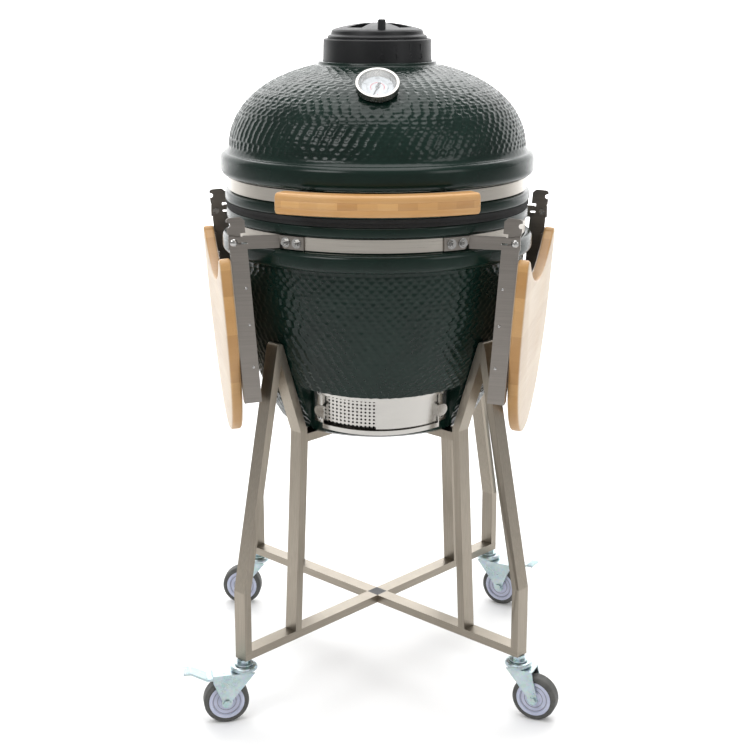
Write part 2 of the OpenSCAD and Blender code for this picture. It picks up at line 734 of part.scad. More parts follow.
module square_bar(p, q) {
    d = q - p;
    n = [-d[1], d[0]] * tube_t / 2 / norm(d);
    polygon([p + n, p - n, q - n, q + n]);
}

// One leg frame in its own plane: X is the distance from the egg's axis
module leg_frame() rotate([90, 0, 0]) linear_extrude(tube_w, center = true) {
    half = tube_t / 2;
    start = tube_w / 2;
    square_bar([start, load_h + half], [leg_reach, load_h + half]);
    square_bar([start, stand_h - half], [knee_r, stand_h - half]);
    square_bar([leg_r, load_h], [leg_r, bend_z]);
    bar([leg_r, bend_z], [apex_r, apex_z]);
    square_bar([post_r, load_h + half], [knee_r, knee_z]);
    bar([knee_r, knee_z], [apex_r, apex_z]);
}

function leg_az(k) = cart_turn - 135 + 90 * k;

module leg_frames_front() color(steel) for (k = [0, 1]) rotate([0, 0, leg_az(k)]) leg_frame();
module leg_frames_back() color(steel) for (k = [2, 3]) rotate([0, 0, leg_az(k)]) leg_frame();

// Square plugs where the four frames meet, at the floor tubes and under the egg
module cross_plugs() color([0.2, 0.2, 0.21]) for (z = [load_h, stand_h - tube_t])
    translate([0, 0, z + tube_t / 2]) rotate([0, 0, cart_turn + 45])
        cube([tube_w, tube_w, tube_t], center = true);

// ---- Side shelves ---------------------------------------------------------------

band_turn = -1.4;        // the base band's fittings are set slightly round
left_az = 180 + shelf_turn + band_turn;
right_az = -shelf_turn + band_turn;
pivot_x = flange_r - 3;  // distance from the egg's axis to the pivots
pivot_z = base_band_z;
pivot_r = pivot_d / 2;
bracket_y = arm_span / 2;
arm_y = bracket_y - plate_t - free_gap;
shelf_lean = 4.2;        // the hanging shelf leans in this much at its lower end
bracket_end = 8.5;
strap_half = 7;          // half angle of the strap on the band

// The frame of a shelf: X points out from the egg, the pivots are at +Y and -Y
module at_shelf(az) rotate([0, 0, az]) children();
module hang() translate([pivot_x, 0, pivot_z]) rotate([0, shelf_lean, 0]) children();

bend_x = sqrt(pow(band_out + plate_t / 2, 2) - pow(bracket_y + plate_t / 2, 2));
bend_az = atan2(bracket_y + plate_t / 2, bend_x);

// One bracket, at the +Y end: a strap on the band, bent out to the pivot
module shelf_bracket() difference() {
    union() {
        sector(band_out, band_out + plate_t, pivot_z - band_h / 2, pivot_z + band_h / 2,
               bend_az, bend_az + 10.5);
        translate([bend_x - 1, bracket_y, pivot_z - band_h / 2])
            cube([pivot_x + bracket_end - bend_x + 1, plate_t, band_h]);
    }
    translate([pivot_x, bracket_y - 5, pivot_z]) rotate([-90, 0, 0])
        cylinder(r = pivot_r, h = 15);
    // slot beside the pivot
    hull() for (x = [8, 20]) translate([pivot_x - x, bracket_y - 5, pivot_z - 1])
        rotate([-90, 0, 0]) cylinder(r = 1.6, h = 15, $fn = 24);
    // notch in the upper edge that shows the arm's neck
    translate([pivot_x - 14, bracket_y - 5, pivot_z + band_h / 2 - 1.5]) cube([13, 15, 5]);
    for (a = strap_bolt_az) at_strap_bolt(a) bolt_hole(bolt_d, plate_t);
}

strap_bolt_az = [bend_az + 3, bend_az + 7.6];
module at_strap_bolt(a) rotate([0, 0, a]) translate([band_out + plate_t, 0, pivot_z])
    rotate([0, 90, 0]) children();

module both_ends() for (m = [0, 1]) mirror([0, m, 0]) children();
module at_strap_bolts() for (az = [left_az, right_az]) at_shelf(az) both_ends()
    for (a = strap_bolt_az) at_strap_bolt(a) children();

module shelf_brackets() color(steel) for (az = [left_az, right_az]) at_shelf(az)
    both_ends() shelf_bracket();

// Stud bolts on the base band: two on each shelf bracket and two on the hinge
module base_band_bolts() color(zinc) {
    at_strap_bolts() stud_bolt(bolt_d, strap_grip);
    for (s = [-1, 1]) at_hinge_bolt(s, base_band_z) stud_bolt(bolt_d, hinge_grip);
}

// Pivot rivets: a domed head outside the bracket, a flat head inside the arm
module shelf_pivots() color(zinc) for (az = [left_az, right_az]) at_shelf(az) both_ends()
    translate([pivot_x, arm_y - 2.5, pivot_z]) rotate([-90, 0, 0]) {
        cylinder(r = pivot_r, h = 2.5 + 2 * plate_t + free_gap + 1);
        cylinder(r = pivot_r + 2, h = 2);
        translate([0, 0, 2.5 + 2 * plate_t + free_gap]) intersection() {
            cylinder(r = pivot_r + 2.5, h = 4);
            translate([0, 0, -4.5]) sphere(r = 8);
        }
    }

// One arm at the +Y end, drawn hanging from the pivot at the origin
module shelf_arm() {
    neck_in = 12;
    head_top = 39;
    head_low = band_h / 2 + 3;
    out = board_x;
    color(steel) translate([0, arm_y + plate_t, 0]) difference() {
        union() {
            rotate([90, 0, 0]) linear_extrude(plate_t) difference() {
                polygon([
                    [out, -arm_len], [out, head_low], [out + 1.5, head_low],
                    [out + 1.5, head_top - 3], [out - 2, head_top], [-14, head_top],
                    [-20, head_top - 6], [-20, head_low], [-neck_in, head_low],
                    [-neck_in, -4], [out - arm_w, -12], [out - arm_w, -arm_len]]);
                translate([out, 28]) circle(r = 4.2, $fn = 32);
            }
            // flange along the board
            translate([out - plate_t, -flange_w, -arm_len])
                cube([plate_t, flange_w - plate_t + bite, arm_len - 36]);
        }
        rotate([90, 0, 0]) translate([0, 0, -5]) cylinder(r = pivot_r + run_gap, h = 15);
        for (z = board_screw_z) translate([out + 5, -screw_in, z]) rotate([0, -90, 0])
            cylinder(r = board_screw_d / 2, h = 15);
    }
}

flange_w = 22;           // width of an arm's flange behind the board
board_screw_z = [-75, -135, -205];
board_screw_d = 4;
screw_in = 13;           // distance of the board's screws from the arm's outer face
screw_y = arm_y + plate_t - screw_in;
board_x = 7;             // inner face of the board, out from the pivot

module shelf_arms() hang() both_ends() shelf_arm();
module left_shelf_arms() at_shelf(left_az) shelf_arms();
module right_shelf_arms() at_shelf(right_az) shelf_arms();

// Outline of a board: two horns round the egg, then a long rounded outer edge
module board_outline() {
    half = board_w / 2;
    mid = 120;
    horn_r = 11;
    tip = 36;
    hollow = 84;         // depth of the hollow's middle below the pivots
    hollow_r = 235 * board_w / 350;
    edge = [for (i = [0:32]) let (a = 180 * i / 32)
        [half * cos(a), -mid - (board_len - mid) * sin(a)]];
    reach = half - 26;
    drop = hollow_r - sqrt(hollow_r * hollow_r - reach * reach);
    sweep = asin(reach / hollow_r);
    polygon(concat(
        edge,
        arc([-half + horn_r + 2, -tip], horn_r, 180, 20, 8),
        arc([0, hollow_r - hollow], hollow_r, -90 - sweep, -90 + sweep, 16),
        arc([half - horn_r - 2, -tip], horn_r, 160, 0, 8)));
}

module shelf_board() hang() translate([board_x, 0, 0]) difference() {
    rotate([90, 0, 90]) linear_extrude(board_t) board_outline();
    both_ends() for (z = board_screw_z) translate([-1, screw_y, z]) rotate([0, 90, 0])
        cylinder(r = board_screw_d / 2, h = 12);
}
module left_shelf_board() color(bamboo) at_shelf(left_az) shelf_board();
module right_shelf_board() color(bamboo) at_shelf(right_az) shelf_board();

module shelf_screws() color(zinc) hang() both_ends() for (z = board_screw_z)
    translate([board_x - plate_t, screw_y, z]) rotate([0, -90, 0]) {
        cylinder(r = board_screw_d, h = 2.2, $fn = 32);
        translate([0, 0, -plate_t - 10]) cylinder(r = board_screw_d / 2, h = plate_t + 11);
    }
module left_shelf_screws() at_shelf(left_az) shelf_screws();
module right_shelf_screws() at_shelf(right_az) shelf_screws();

// ---- Casters --------------------------------------------------------------------

axle_z = wheel_d / 2;
axle_r = axle_d / 2;
stem_top = load_h + 10;
race_r = 22.5;
race_top = load_h - 10;
race_h = 10;
fork_top = race_top - race_h;
fork_in = wheel_w / 2 + 2.5;
fork_t = 2.5;
post_d = 12;             // diameter of the swivel stem
hub_r = 0.39 * wheel_d;
// Direction in which each caster trails, front left first, then anticlockwise
trail_az = [192, -24, -30, 176];

module at_caster(k) rotate([0, 0, leg_az(k)]) translate([leg_r, 0, 0])
    rotate([0, 0, trail_az[k] - leg_az(k)]) children();

// Swivel stem, its nut under the leg, and the flange that holds the fork
module caster_stems() color(zinc) for (k = [0:3]) at_caster(k) {
    translate([0, 0, fork_top - 6]) cylinder(r = post_d / 2, h = load_h - fork_top + 6);
    translate([0, 0, fork_top - 6]) cylinder(r = post_d / 2 + 3, h = 3);
    translate([0, 0, race_top + free_gap]) cylinder(r = 15, h = 2);
    translate([0, 0, race_top + free_gap + 1]) cylinder(r = 11, h = load_h - race_top
        - free_gap - 1, $fn = 6);
}

// Fork: the swivel race, a top plate and two cheeks down to the axle
module fork(brake) {
    plate_w = 2 * (fork_in + fork_t);
    reach = brake ? trail + 22 : trail - 2;
    color(zinc) difference() {
        union() {
            translate([0, 0, race_top - race_h / 2]) rotate_extrude() polygon(concat(
                [[0, -race_h / 2]], arc([race_r - 4.5, 0], 4.5, -90, 90, 6), [[0, race_h / 2]]));
            translate([-12, -plate_w / 2, fork_top - 2.5])
                cube([reach + 12, plate_w, 2.5 + bite]);
            for (s = [-1, 1]) translate([0, s * (fork_in + fork_t / 2), 0]) rotate([90, 0, 0])
                linear_extrude(fork_t, center = true) {
                    polygon(concat([[-16, fork_top], [reach, fork_top],
                        [reach, fork_top - (brake ? 12 : 4)], [trail + 8, axle_z + 5]],
                        arc([trail, axle_z], 9, 0, -180, 8), [[trail - 9, axle_z + 4]]));
                }
        }
        translate([0, 0, fork_top - 20]) cylinder(r = post_d / 2 + run_gap, h = 60);
        translate([trail, plate_w, axle_z]) rotate([90, 0, 0])
            cylinder(r = axle_r, h = 2 * plate_w);
        if (brake) translate([brake_x, plate_w, brake_z]) rotate([90, 0, 0])
            cylinder(r = brake_pin_r, h = 2 * plate_w);
    }
}

// Brake lever: a tread plate on its own cross pin between the cheeks
brake_x = trail + 14;
brake_z = fork_top - 7;
brake_pin_r = 2;
module brake() {
    w = 2 * fork_in - 2 * free_gap;
    color(zinc) {
        translate([brake_x, w / 2, brake_z]) rotate([90, 0, 0]) cylinder(r = 4, h = w);
        translate([brake_x, fork_in + fork_t, brake_z]) rotate([90, 0, 0])
            cylinder(r = brake_pin_r - run_gap, h = 2 * (fork_in + fork_t));
        translate([0, w / 2, 0]) rotate([90, 0, 0]) linear_extrude(w)
            polygon([[brake_x, brake_z - 2.5], [brake_x + 18, brake_z - 2],
                [brake_x + 44, brake_z + 12], [brake_x + 56, brake_z + 12],
                [brake_x + 56, brake_z + 15], [brake_x + 43, brake_z + 15],
                [brake_x + 17, brake_z + 1.5], [brake_x, brake_z + 2.5]]);
    }
}

// Hub: a grooved disc with a boss for the axle
module wheel() color([0.8, 0.82, 0.9]) translate([trail, 0, axle_z]) rotate([90, 0, 0])
    rotate_extrude() polygon([
        [axle_r + run_gap, -wheel_w / 2 - 2], [axle_r + 6, -wheel_w / 2 - 2],
        [axle_r + 8, -wheel_w / 2 + 2.5], [hub_r - 6, -wheel_w / 2 + 2.5],
        [hub_r - 5, -wheel_w / 2 + 0.5], [hub_r, -wheel_w / 2 + 0.5], [hub_r, wheel_w / 2 - 0.5],
        [hub_r - 5, wheel_w / 2 - 0.5], [hub_r - 6, wheel_w / 2 - 2.5],
        [axle_r + 8, wheel_w / 2 - 2.5], [axle_r + 6, wheel_w / 2 + 2],
        [axle_r + run_gap, wheel_w / 2 + 2]]);

module tyre() color([0.3, 0.3, 0.29]) translate([trail, 0, axle_z]) rotate([90, 0, 0])
    rotate_extrude() polygon(concat(
        [[hub_r, -wheel_w / 2 + 1]],
        arc([wheel_d / 2 - 5, -wheel_w / 2 + 5], 5, -90, 0, 4),
        arc([wheel_d / 2 - 5, wheel_w / 2 - 5], 5, 0, 90, 4), [[hub_r, wheel_w / 2 - 1]]));

module axle() color(zinc) translate([trail, 0, axle_z]) rotate([90, 0, 0]) {
    half = fork_in + fork_t;
    translate([0, 0, -half - 1]) cylinder(r = axle_r, h = 2 * half + 2);
    for (m = [0, 1]) mirror([0, 0, m]) translate([0, 0, half]) cylinder(r = axle_r + 2.5,
        h = 3.5, $fn = 6);
}

module fork_front_left() at_caster(0) fork(true);
module fork_front_right() at_caster(1) fork(false);
module fork_back_right() at_caster(2) fork(true);
module fork_back_left() at_caster(3) fork(false);
module wheel_front_left() at_caster(0) wheel();
module wheel_front_right() at_caster(1) wheel();
module wheel_back_right() at_caster(2) wheel();
module wheel_back_left() at_caster(3) wheel();
module tyre_front_left() at_caster(0) tyre();
module tyre_front_right() at_caster(1) tyre();
module tyre_back_right() at_caster(2) tyre();
module tyre_back_left() at_caster(3) tyre();
module axle_front_left() at_caster(0) axle();
module axle_front_right() at_caster(1) axle();
module axle_back_right() at_caster(2) axle();
module axle_back_left() at_caster(3) axle();
module brake_front_left() at_caster(0) brake();
module brake_back_right() at_caster(2) brake();

base_shell();
base_gasket();
base_band();
fire_bowl();
fire_ring();
charcoal_grate();
cooking_grid();
lid_shell();
lid_gasket();
lid_band();
lid_handle();
handle_brackets();
lid_band_bolts();
thermometer_case();
thermometer_dial();
thermometer_needle();
thermometer_glass();
vent_collar();
vent_disc();
vent_pivot();
hinge_base_bracket();
hinge_lid_bracket();
hinge_pin();
hinge_springs();
draft_frame();
draft_screen();
draft_door();
draft_screws();
leg_frames_front();
leg_frames_back();
cross_plugs();
shelf_brackets();
base_band_bolts();
shelf_pivots();
left_shelf_arms();
left_shelf_board();
left_shelf_screws();
right_shelf_arms();
right_shelf_board();
right_shelf_screws();
caster_stems();
fork_front_left();
fork_front_right();
fork_back_right();
fork_back_left();
wheel_front_left();
wheel_front_right();
wheel_back_right();
wheel_back_left();
tyre_front_left();
tyre_front_right();
tyre_back_right();
tyre_back_left();
axle_front_left();
axle_front_right();
axle_back_right();
axle_back_left();
brake_front_left();
brake_back_right();
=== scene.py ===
"""Looks for the ceramic egg grill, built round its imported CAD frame. Metres, front at -Y."""

import json
import math

import bmesh
import bpy
import numpy as np
from mathutils import Matrix, Vector


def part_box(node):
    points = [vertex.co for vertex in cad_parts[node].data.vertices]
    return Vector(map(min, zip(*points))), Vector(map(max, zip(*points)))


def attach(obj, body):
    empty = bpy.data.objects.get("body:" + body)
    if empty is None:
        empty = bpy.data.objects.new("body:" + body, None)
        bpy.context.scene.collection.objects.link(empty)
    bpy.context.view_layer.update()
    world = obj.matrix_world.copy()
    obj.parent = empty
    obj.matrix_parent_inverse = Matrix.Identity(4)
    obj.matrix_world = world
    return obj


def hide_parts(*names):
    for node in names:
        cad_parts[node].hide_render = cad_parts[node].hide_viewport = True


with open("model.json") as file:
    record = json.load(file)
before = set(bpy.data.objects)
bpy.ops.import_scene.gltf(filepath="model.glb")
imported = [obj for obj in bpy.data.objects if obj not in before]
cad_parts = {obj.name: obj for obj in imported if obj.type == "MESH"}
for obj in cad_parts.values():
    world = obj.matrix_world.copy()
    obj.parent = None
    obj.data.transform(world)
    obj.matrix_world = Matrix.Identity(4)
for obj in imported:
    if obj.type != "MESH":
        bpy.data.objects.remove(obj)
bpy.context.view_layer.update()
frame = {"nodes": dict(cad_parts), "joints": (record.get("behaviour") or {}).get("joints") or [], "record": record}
nodes = frame["nodes"]
joints = {j["name"]: j for j in frame["joints"]}
scene = bpy.context.scene
TAU = 2 * math.pi
CORNERS = ("front_left", "front_right", "back_right", "back_left")

# ---- Sizes, from the frame's boxes and the ceramic's own proportions ---------------------

lid_lo, lid_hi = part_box("lid_shell")
base_lo, base_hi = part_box("base_shell")
FLANGE_R = lid_hi.x
EGG_R = FLANGE_R - 0.013
LIP_R = EGG_R + 0.006
GROOVE_R = EGG_R - 0.0023
INNER_R = EGG_R - 0.024
LIP_H = 0.017
GROOVE_H = 0.0248
NECK_R = 0.099
NECK_H = 0.005
CHIMNEY_R = 0.070
DOME_POWER = 2.3
LID_FLANGE_H = 0.040
BASE_FLANGE_H = 0.030
BASE_CUT = 0.7512              # the base's flat foot cuts its egg curve off here
lid_groove = lid_lo.z + LIP_H
lid_flange = lid_groove + GROOVE_H
dome_mid = lid_flange + LID_FLANGE_H - 0.007
base_groove = base_hi.z - LIP_H
base_flange = base_groove - GROOVE_H
base_mid = base_flange + 0.008
base_depth = (base_mid - base_lo.z) / BASE_CUT
floor_z = base_lo.z + 0.026
draft_z = base_lo.z + 0.009


def arc(cx, cz, r, a, b, n=8):
    """Points of a round corner about (cx, cz), from angle a to angle b in degrees."""
    turns = [math.radians(a + (b - a) * i / n) for i in range(n + 1)]
    return [(cx + r * math.cos(t), cz + r * math.sin(t)) for t in turns]


def dome_end(r, r0):
    return math.acos((r / r0) ** (DOME_POWER / 2))


dome_rise = (lid_hi.z - dome_mid - NECK_H) / math.sin(dome_end(NECK_R, EGG_R)) ** (2 / DOME_POWER)


def dome_curve(r_end, r0, rise, n):
    ends = [dome_end(r_end, r0) * (i / n) ** 0.9 for i in range(n + 1)]
    return [(r0 * math.cos(t) ** (2 / DOME_POWER), dome_mid + rise * math.sin(t) ** (2 / DOME_POWER))
            for t in ends]


def egg_curve(z, r0, depth):
    return r0 * math.sqrt(1 - ((base_mid - z) / depth) ** 2)


# ---- Mesh tools ---------------------------------------------------------------------------

def link(name, mesh):
    piece = bpy.data.objects.new(name, mesh)
    scene.collection.objects.link(piece)
    return piece


def make(name, verts, faces, smooth=True):
    mesh = bpy.data.meshes.new(name)
    mesh.from_pydata([tuple(v) for v in verts], [], [tuple(int(i) for i in f) for f in faces])
    mesh.validate()
    mesh.polygons.foreach_set("use_smooth", [smooth] * len(mesh.polygons))
    mesh.update()
    return link(name, mesh)


def fix_normals(piece):
    bm = bmesh.new()
    bm.from_mesh(piece.data)
    bmesh.ops.recalc_face_normals(bm, faces=bm.faces)
    bm.to_mesh(piece.data)
    bm.free()


def sharp_by_angle(piece, degrees=35):
    piece.data.set_sharp_from_angle(angle=math.radians(degrees))


def resample(points, step):
    """The same path with points about one step apart, its ends kept."""
    p = np.array(points, float)
    run = np.concatenate([[0], np.cumsum(np.linalg.norm(np.diff(p, axis=0), axis=1))])
    n = max(2, int(round(run[-1] / step)) + 1)
    at = np.linspace(0, run[-1], n)
    return np.stack([np.interp(at, run, p[:, i]) for i in range(p.shape[1])], 1)


def lathe(name, profile, n, shift=None):
    """A revolved piece. The profile runs from pole to pole, or closes on itself.
    shift is the inward move of each profile point at each angle."""
    prof = np.array(profile, float)
    poles = prof[0, 0] < 1e-6 and prof[-1, 0] < 1e-6
    tangent = np.gradient(prof, axis=0) if poles else np.roll(prof, -1, 0) - np.roll(prof, 1, 0)
    normal = np.stack([tangent[:, 1], -tangent[:, 0]], 1)
    normal /= np.maximum(np.linalg.norm(normal, axis=1), 1e-9)[:, None]
    az = np.arange(n) * TAU / n
    depth = np.zeros((len(prof), n)) if shift is None else shift
    r = prof[:, :1] - normal[:, :1] * depth
    z = prof[:, 1:] - normal[:, 1:] * depth
    grid = np.stack([r * np.cos(az), r * np.sin(az), z + 0 * az], 2)
    rows = len(prof)
    if poles:
        grid = grid[1:-1]
        rows -= 2
    verts = grid.reshape(-1, 3)
    i = np.arange(rows - 1 if poles else rows)[:, None] * n
    k = np.arange(n)[None, :]
    up = (i + n) % (rows * n)
    nxt = (k + 1) % n
    faces = np.stack([i + k, i + nxt, up + nxt, up + k], 2).reshape(-1, 4).tolist()
    verts = verts.tolist()
    if poles:
        for row, z_pole, turned in ((0, prof[0, 1], True), (rows - 1, prof[-1, 1], False)):
            verts.append((0, 0, z_pole))
            tip = len(verts) - 1
            for a in range(n):
                b = (a + 1) % n
                ring = (row * n + b, row * n + a, tip) if turned else (row * n + a, row * n + b, tip)
                faces.append(ring)
    piece = make(name, verts, faces)
    fix_normals(piece)
    return piece


def sector(name, r1, r2, z1, z2, a, b, n=48):
    """Part of a ring between two angles in degrees, as a closed solid."""
    verts, faces = [], []
    for i in range(n + 1):
        t = math.radians(a + (b - a) * i / n)
        for r, z in ((r1, z1), (r2, z1), (r2, z2), (r1, z2)):
            verts.append((r * math.cos(t), r * math.sin(t), z))
    for i in range(n):
        for k in range(4):
            q = i * 4
            faces.append((q + k, q + (k + 1) % 4, q + 4 + (k + 1) % 4, q + 4 + k))
    faces += [(3, 2, 1, 0), tuple(n * 4 + k for k in range(4))]
    piece = make(name, verts, faces, smooth=False)
    fix_normals(piece)
    return piece


def cut(piece, *cutters):
    for tool in cutters:
        mod = piece.modifiers.new("cut", "BOOLEAN")
        mod.operation = "DIFFERENCE"
        mod.solver = "EXACT"
        mod.object = tool
        with bpy.context.temp_override(object=piece, active_object=piece):
            bpy.ops.object.modifier_apply(modifier=mod.name)
        bpy.data.objects.remove(tool)


def tube(name, path, r, sides):
    """A round wire along a path, closed at both ends."""
    pts = [Vector(p) for p in path]
    verts, faces = [], []
    side = None
    for i, p in enumerate(pts):
        ahead = (pts[min(i + 1, len(pts) - 1)] - pts[max(i - 1, 0)]).normalized()
        if side is None:
            side = ahead.orthogonal().normalized()
        side = (side - ahead * side.dot(ahead)).normalized()
        up = ahead.cross(side)
        for k in range(sides):
            t = TAU * k / sides
            verts.append(p + side * (r * math.cos(t)) + up * (r * math.sin(t)))
    for i in range(len(pts) - 1):
        for k in range(sides):
            a, b = i * sides + k, i * sides + (k + 1) % sides
            faces.append((a, b, b + sides, a + sides))
    faces += [tuple(reversed(range(sides))),
              tuple((len(pts) - 1) * sides + k for k in range(sides))]
    return make(name, verts, faces)


SLOT_OF = {row["node"]: row["material_slot"] for row in frame["record"]["subparts"]}
BODY_OF = {n: body for body, ns in frame["record"]["behaviour"]["bodies"].items() for n in ns}


def dress(piece, slot, look=None):
    """Put a piece in a material slot, with the slot's own finish or another look."""
    piece.data.materials.clear()
    piece.data.materials.append(finishes[look or slot])


def stand_for(piece, node, look=None):
    """A piece that replaces a CAD node."""
    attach(piece, BODY_OF[node])
    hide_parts(node)
    dress(piece, SLOT_OF[node], look)


def add_on(piece, node, slot_node, look=None):
    """A piece that rides with one node and has the slot of another. It replaces nothing."""
    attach(piece, BODY_OF[node])
    dress(piece, SLOT_OF[slot_node], look)


# ---- Materials ------------------------------------------------------------------------------

class Look:
    """A node material: short calls for the nodes that it needs."""

    def __init__(self, name, colour, rough, metal=0.0, **more):
        self.mat = bpy.data.materials.new(name)
        self.mat.use_nodes = True
        self.tree = self.mat.node_tree
        self.bsdf = self.tree.nodes["Principled BSDF"]
        self.set("Base Color", (*colour, 1))
        self.set("Roughness", rough)
        self.set("Metallic", metal)
        for key, value in more.items():
            self.set(key.replace("_", " "), value)
        self.coords = self.tree.nodes.new("ShaderNodeTexCoord")

    def set(self, socket, value):
        self.bsdf.inputs[socket].default_value = value

    def link(self, a, b):
        self.tree.links.new(a, b)

    def stretched(self, scale):
        node = self.tree.nodes.new("ShaderNodeMapping")
        node.inputs["Scale"].default_value = scale
        self.link(self.coords.outputs["Object"], node.inputs["Vector"])
        return node.outputs["Vector"]

    def noise(self, scale, detail=3.0, rough=0.55, at=None):
        node = self.tree.nodes.new("ShaderNodeTexNoise")
        node.inputs["Scale"].default_value = scale
        node.inputs["Detail"].default_value = detail
        node.inputs["Roughness"].default_value = rough
        self.link(at or self.coords.outputs["Object"], node.inputs["Vector"])
        return node.outputs["Fac"]

    def cells(self, scale, output="Distance"):
        node = self.tree.nodes.new("ShaderNodeTexVoronoi")
        node.inputs["Scale"].default_value = scale
        self.link(self.coords.outputs["Object"], node.inputs["Vector"])
        return node.outputs[output]

    def math(self, op, a, b=None, c=None):
        node = self.tree.nodes.new("ShaderNodeMath")
        node.operation = op
        for i, v in enumerate((a, b, c)):
            if v is None:
                continue
            if isinstance(v, (int, float)):
                node.inputs[i].default_value = v
            else:
                self.link(v, node.inputs[i])
        return node.outputs[0]

    def axis(self, which, source="Object"):
        node = self.tree.nodes.new("ShaderNodeSeparateXYZ")
        self.link(self.coords.outputs[source], node.inputs[0])
        return node.outputs[which]

    def ramp(self, fac, *stops):
        node = self.tree.nodes.new("ShaderNodeValToRGB")
        band = node.color_ramp.elements
        while len(band) < len(stops):
            band.new(0.5)
        for el, (pos, colour) in zip(band, stops):
            el.position = pos
            el.color = (*colour, 1)
        self.link(fac, node.inputs[0])
        return node.outputs["Color"]

    def mix(self, fac, a, b, mode="MIX"):
        node = self.tree.nodes.new("ShaderNodeMix")
        node.data_type = "RGBA"
        node.blend_type = mode
        for socket, v in ((node.inputs[0], fac), (node.inputs[6], a), (node.inputs[7], b)):
            if isinstance(v, (int, float)):
                socket.default_value = v
            elif isinstance(v, tuple):
                socket.default_value = (*v, 1)
            else:
                self.link(v, socket)
        return node.outputs[2]

    def span(self, fac, low, high, lo_in=0.3, hi_in=0.7):
        node = self.tree.nodes.new("ShaderNodeMapRange")
        for socket, v in zip(node.inputs[1:5], (lo_in, hi_in, low, high)):
            socket.default_value = v
        self.link(fac, node.inputs[0])
        return node.outputs[0]

    def colour(self, out):
        self.link(out, self.bsdf.inputs["Base Color"])

    def rough(self, out):
        self.link(out, self.bsdf.inputs["Roughness"])

    def bump(self, height, distance, strength):
        node = self.tree.nodes.new("ShaderNodeBump")
        node.inputs["Distance"].default_value = distance
        node.inputs["Strength"].default_value = strength
        self.link(height, node.inputs["Height"])
        self.link(node.outputs[0], self.bsdf.inputs["Normal"])


def steel(name, colour, rough, streak, spread=0.12, depth=0.00004, tint=0.1):
    """Ground stainless: fine streaks run where the stretch is small."""
    look = Look(name, colour, rough, 1.0)
    at = look.stretched(streak)
    lines = look.noise(1.0, 5.0, 0.7, at)
    smear = look.noise(9.0, 2.0)
    dark = tuple(c * (1 - tint) for c in colour)
    light = tuple(min(1, c * (1 + tint)) for c in colour)
    look.colour(look.mix(look.span(lines, 0, 1), dark, light))
    look.rough(look.math("ADD", look.span(lines, rough - spread / 2, rough + spread / 2),
                         look.span(smear, -0.03, 0.03)))
    look.bump(lines, depth, 0.6)
    return look.mat


finishes = {}


